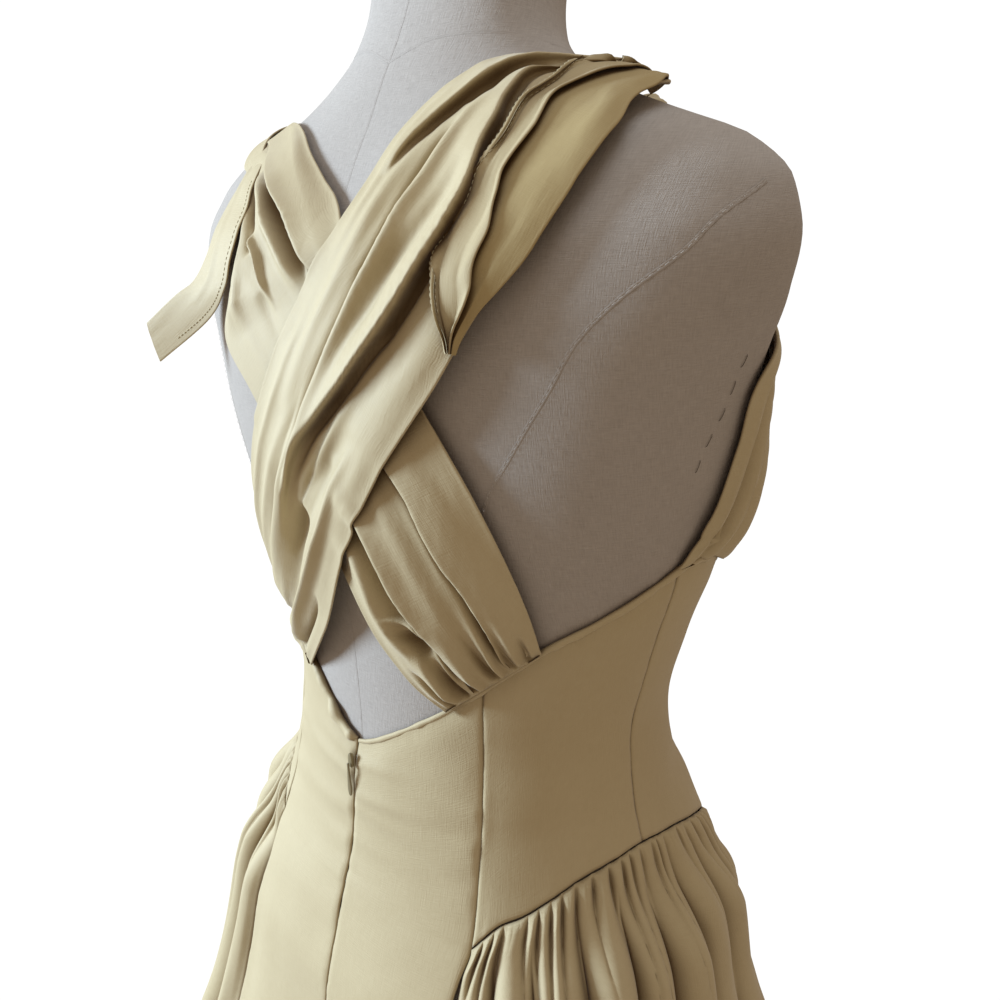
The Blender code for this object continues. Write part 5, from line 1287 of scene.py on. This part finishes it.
# left tie end: stands out from the shoulder, folded lengthwise
rows, cols = 150, 44
t = np.linspace(0, 1, len(TIE_LEFT))
s = np.linspace(0, 1, rows)
e = np.stack([catmull(s, t, TIE_LEFT[:, i]) for i in range(6)], -1)
w = np.linspace(0, 1, cols)[None, :, None]
p = e[:, None, :3] * (1 - w) + e[:, None, 3:] * w
n = grid_normals(p, p * np.array([0.3, 1, 0.0]) + np.array([0, 0, 5.0]))
U = np.broadcast_to(w[..., 0], (rows, cols))
S = np.broadcast_to(s[:, None], (rows, cols))
h = 0.16 * np.sin(np.pi * U) * (1 - 0.5 * S) + 0.10 * np.exp(-((U - 0.62 - 0.1 * np.sin(5 * S)) / 0.10) ** 2) * smooth(S / 0.2) * smooth((0.95 - S) / 0.2)
h += 0.05 * rough2(U * 2.2, S * 9, 5, 2)
h += 0.12 * smooth((S - 0.85) / 0.15) * (U - 0.5)
p = p + n * h[..., None]
p = settle(p, lambda q: clear_of(q, 0.22, FORM_TREE, soft=0.08, limit=0.4), rounds=4, rows=6, cols=4)
n = grid_normals(p, n)
q, m = roll(p, n, 1, False, r=0.055, back=0.5)
q, m = roll(q, m, 1, True, r=0.055, back=0.5)
tie_l = piece(sheet_object("tie_end_cloth_l", q, CLOTH, m), "cloth", "tie_l")
TIE_L, TIE_LN = p, n

# right tie end: a flattened tube of cloth that lies on the strap, its upper layer turned open
TAIL_LEFT = [(101.0, 35.15), (94.5, 35.35), (86.5, 35.5), (78.5, 35.4), (72.0, 34.7), (66.8, 34.1), (61.2, 32.8), (55.0, 30.8), (49.3, 29.1), (47.7, 27.9), (48.0, 26.4), (49.0, 24.85)]
TAIL_RIDGE = [(101.6, 34.95), (95.3, 35.05), (87.5, 35.0), (79.2, 34.7), (71.0, 33.9), (65.2, 32.5), (62.0, 31.5), (59.0, 30.0), (57.8, 29.4), (56.3, 28.8), (54.5, 28.0), (53.5, 27.1), (51.5, 25.8), (50.0, 24.75)]
TAIL_RIGHT = [(102.2, 34.75), (96.2, 34.75), (88.5, 34.5), (79.0, 33.75), (74.5, 32.8), (70.8, 31.8), (67.7, 30.8), (63.8, 29.5), (60.7, 28.3), (57.5, 27.3), (54.7, 26.5), (52.3, 25.6), (51.3, 25.1), (50.8, 24.75)]


def along_line(rows, k):
    a = np.array(rows, float)
    d = np.concatenate([[0], np.cumsum(np.hypot(np.diff(a[:, 0]) * 0.25, np.diff(a[:, 1])))])
    x = np.linspace(0, d[-1], k)
    return catmull(x, d, a[:, 0]), catmull(x, d, a[:, 1])


rows, cols = 170, 64
la, ri, rt = along_line(TAIL_LEFT, rows), along_line(TAIL_RIDGE, rows), along_line(TAIL_RIGHT, rows)
w = np.linspace(0, 1, cols)[None, :]
S = np.broadcast_to(np.linspace(0, 1, rows)[:, None], (rows, cols))
U = np.broadcast_to(w, (rows, cols))
lift0 = 0.56 + 0.40 * smooth(1 - S / 0.20)
p = on_form(la[0][:, None] * (1 - w) + rt[0][:, None] * w, la[1][:, None] * (1 - w) + rt[1][:, None] * w, lift0)
bare = p
p = settle(p, lambda q: clear_of(q, 0.12, over_tree[0], sign=over_tree[1], soft=0.06, reach=1.2, limit=0.5), rounds=6, rows=7, cols=4)
p = bare + (p - bare) * smooth((S - 0.02) / 0.16)[..., None]
n = grid_normals(p, p * np.array([1, 1, 0.0]) + np.array([0, 0, 12.0]))
h = (0.05 * rough2(U * 3.0, S * 8, 9, 2) + 0.10 * np.exp(-((U - 0.80) / 0.12) ** 2)) * smooth(S / 0.3)
low = p + n * h[..., None]
n = grid_normals(low, n)
q, m = roll(low, n, 1, False, r=0.05, back=0.4)
q, m = roll(q, m, 1, True, r=0.06, back=0.4)
piece(sheet_object("tie_end_inner_r", q, CLOTH_INNER, m), "cloth", "tie_r")
ratio = np.clip(np.linalg.norm(on_form(*ri, 0.9) - on_form(*la, 0.9), axis=-1) / np.maximum(np.linalg.norm(on_form(*rt, 0.9) - on_form(*la, 0.9), axis=-1), 1e-3), 0.2, 0.95)
ratio = blur(ratio[:, None], 0, 6)[:, 0]
W2 = np.clip(w * ratio[:, None], 0, 1) * (cols - 1)
j0 = np.clip(W2.astype(int), 0, cols - 2)
fr = (W2 - j0)[..., None]
ii = np.arange(rows)[:, None]
up_ = low[ii, j0] * (1 - fr) + low[ii, j0 + 1] * fr
un_ = n[ii, j0] * (1 - fr) + n[ii, j0 + 1] * fr
un_ /= np.linalg.norm(un_, axis=-1, keepdims=True)
wavy = 0.5 + 0.5 * np.sin(S * 21 + 1.0) * np.exp(-((S - 0.72) / 0.25) ** 2)
h = 0.08 + 0.24 * smooth((U - 0.72) / 0.28) * smooth((S - 0.06) / 0.25) * smooth((1.02 - S) / 0.12) * (0.75 + 0.5 * wavy)
h += (0.15 * np.exp(-((U - 0.08) / 0.08) ** 2) - 0.04 * np.exp(-((U - 0.24) / 0.05) ** 2) + 0.04 * rough2(U * 2.5, S * 9, 19, 2)) * smooth((S - 0.04) / 0.2)
top_layer = up_ + un_ * h[..., None]
n = grid_normals(top_layer, un_)
q, m = roll(top_layer, n, 1, False, r=0.06, back=0.3)
q, m = roll(q, m, 1, True, r=0.055, back=0.35)
piece(sheet_object("tie_end_outer_r", q, CLOTH_TURNED, m), "cloth", "tie_r")
TIE_R, TIE_RN = top_layer, n

# ------------------------------------------------------------------ stitching
def line_on(p, n, u, s0=0.0, s1=1.0, inset=None):
    """A line along a grid at a share u across it, or at a distance inset from the first column."""
    rows = p.shape[0]
    a, b = int(s0 * (rows - 1)), int(s1 * (rows - 1)) + 1
    pts, nrm = [], []
    for i in range(a, b):
        if inset is None:
            x = u * (p.shape[1] - 1)
        else:
            d = arc(p[i:i + 1], 1)[0]
            x = np.interp(abs(inset), d if inset > 0 else d[-1] - d[::-1], np.arange(len(d)))
            x = x if inset > 0 else len(d) - 1 - x
        j = min(int(x), p.shape[1] - 2)
        f = x - j
        pts.append(p[i, j] * (1 - f) + p[i, j + 1] * f)
        nrm.append(n[i, j])
    return np.array(pts), np.array(nrm)


hem_lines = [line_on(TIE_R, TIE_RN, 0, 0.05, 0.94, inset=0.38), line_on(TIE_R, TIE_RN, 0, 0.05, 0.94, inset=0.07), line_on(TIE_L, TIE_LN, 0, 0.44, 0.97, inset=0.35)]
piece(stitches("tie_stitches", hem_lines, THREAD, length=0.20, gap=0.09, r=0.018, lift=0.0), "cloth")

# ------------------------------------------------------------------ dress form
cols = 220
phi = np.linspace(-180, 180, cols + 1)[:-1]
rows_ = []
for z, k in FORM_ROUND:
    g = form_point(phi, np.full(cols, z))
    g[:, :2] *= k
    rows_.append(g)
for z in np.linspace(-24.2, 35.6, 150):
    rows_.append(form_point(phi, np.full(cols, z)))
for share in np.linspace(0.06, 1.0, 20):
    y = np.zeros(cols)
    for _ in range(14):
        y = 0.5 * y + 0.5 * form_point(phi, NECK_CUT[0] + NECK_CUT[1] * y)[:, 1]
    z = 35.6 + share * (NECK_CUT[0] + NECK_CUT[1] * y - 35.6)
    rows_.append(form_point(phi, z))
torso = np.array(rows_)
tn = grid_normals(torso, torso * np.array([1, 1, 0.0]))
ringtop = torso[-1]
o = sheet_object("form_cover", torso, LINEN, tn, closed_cols=True)
piece(o, "linen", "form_torso")
bm = bmesh.new()
bm.from_mesh(o.data)
bm.verts.ensure_lookup_table()
bottom = [bm.verts[j] for j in range(cols)]
top = [bm.verts[(len(rows_) - 1) * cols + j] for j in range(cols)]
bm.faces.new(bottom)
bm.faces.new(list(reversed(top)))
bmesh.ops.recalc_face_normals(bm, faces=bm.faces)
bm.to_mesh(o.data)
bm.free()
o.data.shade_smooth()
o.data.set_sharp_from_angle(angle=math.radians(50))


def form_line(rows, step=0.35, lift=0.0):
    a = np.array(rows, float)
    t = np.linspace(0, 1, len(a))
    k = np.linspace(0, 1, 160)
    ph, z = catmull(k, t, a[:, 0]), catmull(k, t, a[:, 1])
    pts = resample(on_form(ph, z, lift), step)
    ph2 = np.degrees(np.arctan2(-pts[:, 0], pts[:, 1]))
    return pts, outward(form_point, ph2, pts[:, 2])


PRINCESS = [(86.0, 31.3), (79.8, 30.1), (75.8, 28.8), (70.0, 27.2), (65.2, 25.4), (61.8, 23.2), (56.8, 20.5), (52.0, 17.7), (48.5, 12.0), (47.0, 6.0), (46.0, -2.0), (44.5, -12.0), (44.0, -24.0)]
ARM_BACK = [(88.6, 24.4), (88.2, 23.6), (87.6, 22.2), (86.4, 21.2), (85.3, 20.4), (84.6, 19.4), (84.3, 18.6)]
ARM_FRONT = [(88.0, 15.4), (94.0, 17.5), (98.0, 21.0), (99.0, 25.0), (99.0, 29.0), (96.0, 32.4), (89.5, 34.0)]
FRONT_PRINCESS = [(103.0, 26.0), (118.0, 24.0), (128.0, 20.0), (131.0, 16.0), (132.0, 8.0), (134.0, -2.0), (136.0, -12.0), (137.0, -24.0)]
NECK_ARC = [(0.0, 37.3), (12.2, 37.6), (30.0, 38.0), (45.5, 38.2), (65.8, 38.2), (79.0, 38.0), (94.5, 37.5), (120.0, 36.9), (150.0, 36.6), (180.0, 36.5)]
SHOULDER = [(92.5, 37.6), (93.0, 36.2), (92.0, 34.8), (91.0, 33.4), (90.0, 31.8)]
SIDE = [(90.0, 14.5), (90.0, 8.0), (90.0, 0.0), (90.0, -10.0), (90.0, -24.0)]


def both(rows):
    return [rows, [(-a, b) for a, b in rows]]


def seam_strip(name, lines, mat, wide=0.10, high=0.010):
    """The slightly raised pair of edges and the groove of a pressed seam in the cover."""
    across = np.array([-1.0, -0.75, -0.45, -0.16, 0.0, 0.16, 0.45, 0.75, 1.0]) * wide
    lift = np.array([-0.02, 0.55, 1.0, 0.75, -0.15, 0.75, 1.0, 0.55, -0.02]) * high
    verts, faces = [], []
    for pts, nrm in lines:
        t = np.gradient(pts, axis=0)
        t /= np.maximum(np.linalg.norm(t, axis=1, keepdims=True), 1e-9)
        side = np.cross(t, nrm)
        g = pts[:, None] + side[:, None] * across[None, :, None] + nrm[:, None] * lift[None, :, None]
        k = sum(len(v) for v in verts)
        m = len(across)
        verts.append(g.reshape(-1, 3))
        for i in range(len(pts) - 1):
            for j in range(m - 1):
                faces.append((k + i * m + j, k + (i + 1) * m + j, k + (i + 1) * m + j + 1, k + i * m + j + 1))
    o = faces_object(name, np.concatenate(verts), faces, mat)
    uvl = o.data.uv_layers.new(name="cloth")
    co = np.array([v.co for v in o.data.vertices])
    li = np.array([l.vertex_index for l in o.data.loops])
    uvl.data.foreach_set("uv", np.stack([co[li, 0] - co[li, 1], co[li, 2]], -1).astype(np.float32).ravel())
    return o


seams = [form_line(r, lift=0.006) for base in (PRINCESS, FRONT_PRINCESS, NECK_ARC, SIDE) for r in both(base)]
seams += [form_line([(0.0, 42.5), (0.0, 30.0), (0.0, 15.0), (0.0, 0.0), (0.0, -24.0)], lift=0.006),
          form_line([(180.0, 44.0 - 5), (180.0, 30.0), (180.0, 15.0), (180.0, 0.0), (180.0, -24.0)], lift=0.012)]
piece(seam_strip("form_seams", seams, LINEN), "linen")
piece(stitches("form_stitches_dark", [form_line(r, lift=0.02) for r in both(ARM_BACK)], THREAD_DARK, length=0.62, gap=0.62, r=0.018), "linen")
piece(stitches("form_stitches_pale", [form_line(r, lift=0.03) for r in both(PRINCESS[:10])], THREAD_PALE, length=0.20, gap=0.16, r=0.009), "linen")

# neck plate, stand
centre = ringtop.mean(0)
nup = np.array([0, -NECK_CUT[1], 1.0])
nup /= np.linalg.norm(nup)
flat_ = ringtop - centre
flat_ = flat_ - np.outer(flat_ @ nup, nup)
prof = [(0.90, 0.02), (0.985, 0.10), (1.0, 0.26), (1.005, 0.50), (1.0, 0.80), (0.975, 1.02), (0.93, 1.16), (0.86, 1.26), (0.70, 1.38), (0.45, 1.47), (0.20, 1.50), (0.02, 1.505)]
g = np.array([centre + flat_ * k + nup * hh for k, hh in prof])
cc = g.shape[1]
faces = [(i * cc + j, i * cc + (j + 1) % cc, (i + 1) * cc + (j + 1) % cc, (i + 1) * cc + j) for i in range(len(prof) - 1) for j in range(cc)]
faces.append(tuple(range(cc)))
faces.append(tuple((len(prof) - 1) * cc + j for j in reversed(range(cc))))
piece(faces_object("neck_plate", g.reshape(-1, 3), faces, CAP, 60), "cap", "neck_cap")


def turned(name, profile, mat, segs=96):
    verts, faces = [], []
    for r, z in profile:
        for j in range(segs):
            a = 2 * math.pi * j / segs
            verts.append((r * math.cos(a), r * math.sin(a), z))
    for i in range(len(profile) - 1):
        for j in range(segs):
            a, b = i * segs + j, i * segs + (j + 1) % segs
            faces.append((a, b, b + segs, a + segs))
    faces.append(tuple(reversed(range(segs))))
    faces.append(tuple(range((len(profile) - 1) * segs, len(profile) * segs)))
    return faces_object(name, verts, faces, mat, 40)


fl = -WAIST
piece(turned("stand_foot", [(16.3, fl), (16.75, fl + 0.04), (16.95, fl + 0.18), (17.0, fl + 0.40), (16.93, fl + 0.68), (16.7, fl + 0.86), (16.2, fl + 1.0),
                            (13.0, fl + 1.18), (8.0, fl + 1.40), (5.0, fl + 1.50), (3.0, fl + 1.53), (2.4, fl + 1.56), (2.2, fl + 1.60), (1.0, fl + 1.60)], STEEL), "steel", "stand_base")
piece(turned("stand_tube", [(1.15, fl + 1.61), (1.25, fl + 1.66), (1.25, -60.0), (1.25, -40.0), (1.25, FORM_END - 0.96), (1.1, FORM_END - 0.93)], STEEL, 64), "steel", "stand_pole")
piece(turned("stand_socket", [(3.0, FORM_END - 0.90), (3.25, FORM_END - 0.88), (4.45, FORM_END - 0.56), (4.6, FORM_END - 0.46), (4.6, FORM_END - 0.14), (4.5, FORM_END - 0.05), (1.0, FORM_END - 0.05)], STEEL), "steel", "stand_collar")

# ------------------------------------------------------------------ zip
y0 = float(on_form(0.0, 0.9, 0.30)[1])
y1 = y0 + 0.46


def plate(outline, y_lo, y_hi, bevel=0.03, bumps=None):
    """A small cast piece: an outline in x and height, thickened in y, with soft edges."""
    o = np.array(outline, float) * np.array([0.72, 1.0])
    tang = np.roll(o, -1, 0) - np.roll(o, 1, 0)
    side = np.stack([tang[:, 1], -tang[:, 0]], -1) / np.maximum(np.linalg.norm(tang, axis=1, keepdims=True), 1e-9)
    area2 = (o[:, 0] * np.roll(o[:, 1], -1) - np.roll(o[:, 0], -1) * o[:, 1]).sum()
    inward = -side * np.sign(area2)
    rows = []
    for d, y in ((bevel, y_lo), (0.0, y_lo + 0.25 * (y_hi - y_lo)), (0.0, y_lo + 0.70 * (y_hi - y_lo)), (bevel * 0.4, y_hi - 0.01), (bevel * 1.1, y_hi)):
        q = o + inward * d
        rows.append(np.stack([q[:, 0], np.full(len(q), y), q[:, 1]], -1))
    g = np.array(rows)
    m = g.shape[1]
    f = [(i * m + j, i * m + (j + 1) % m, (i + 1) * m + (j + 1) % m, (i + 1) * m + j) for i in range(len(g) - 1) for j in range(m)]
    f.append(tuple(range(m)))
    f.append(tuple((len(g) - 1) * m + j for j in reversed(range(m))))
    return g.reshape(-1, 3), f


def spline_loop(points, k=64):
    a = np.array(points, float)
    a = np.concatenate([a, a[:1]])
    t = np.linspace(0, 1, len(a))
    ext_t = np.concatenate([t[:-1] - 1, t, t[1:] + 1])
    ext = np.concatenate([a[:-1], a, a[1:]])
    x = np.linspace(0, 1, k + 1)[:-1]
    return np.stack([catmull(x, ext_t, ext[:, 0]), catmull(x, ext_t, ext[:, 1])], -1)


slider = spline_loop([(-0.19, 0.72), (0.0, 0.705), (0.19, 0.72), (0.25, 0.95), (0.255, 1.15), (0.20, 1.42), (0.12, 1.53), (0.0, 1.55), (-0.12, 1.53), (-0.20, 1.42), (-0.255, 1.15), (-0.25, 0.95)])
v, f = plate(slider, y0 + 0.20, y0 + 0.40)
piece(faces_object("zip_slider_body", v, f, ZIP, 45), "zip", "zip_slider")
pull = spline_loop([(-0.085, 0.99), (0.0, 1.015), (0.085, 0.99), (0.10, 0.70), (0.125, 0.40), (0.17, 0.05), (0.215, -0.30), (0.235, -0.58), (0.19, -0.88), (0.10, -1.03), (0.0, -1.06),
                    (-0.10, -1.03), (-0.19, -0.88), (-0.235, -0.58), (-0.215, -0.30), (-0.17, 0.05), (-0.125, 0.40), (-0.10, 0.70)], 90)
v, f = plate(pull, y1 + 0.01, y1 + 0.12)
piece(faces_object("zip_pull_tab", v, f, ZIP, 45), "zip", "zip_pull", body="zip_pull")
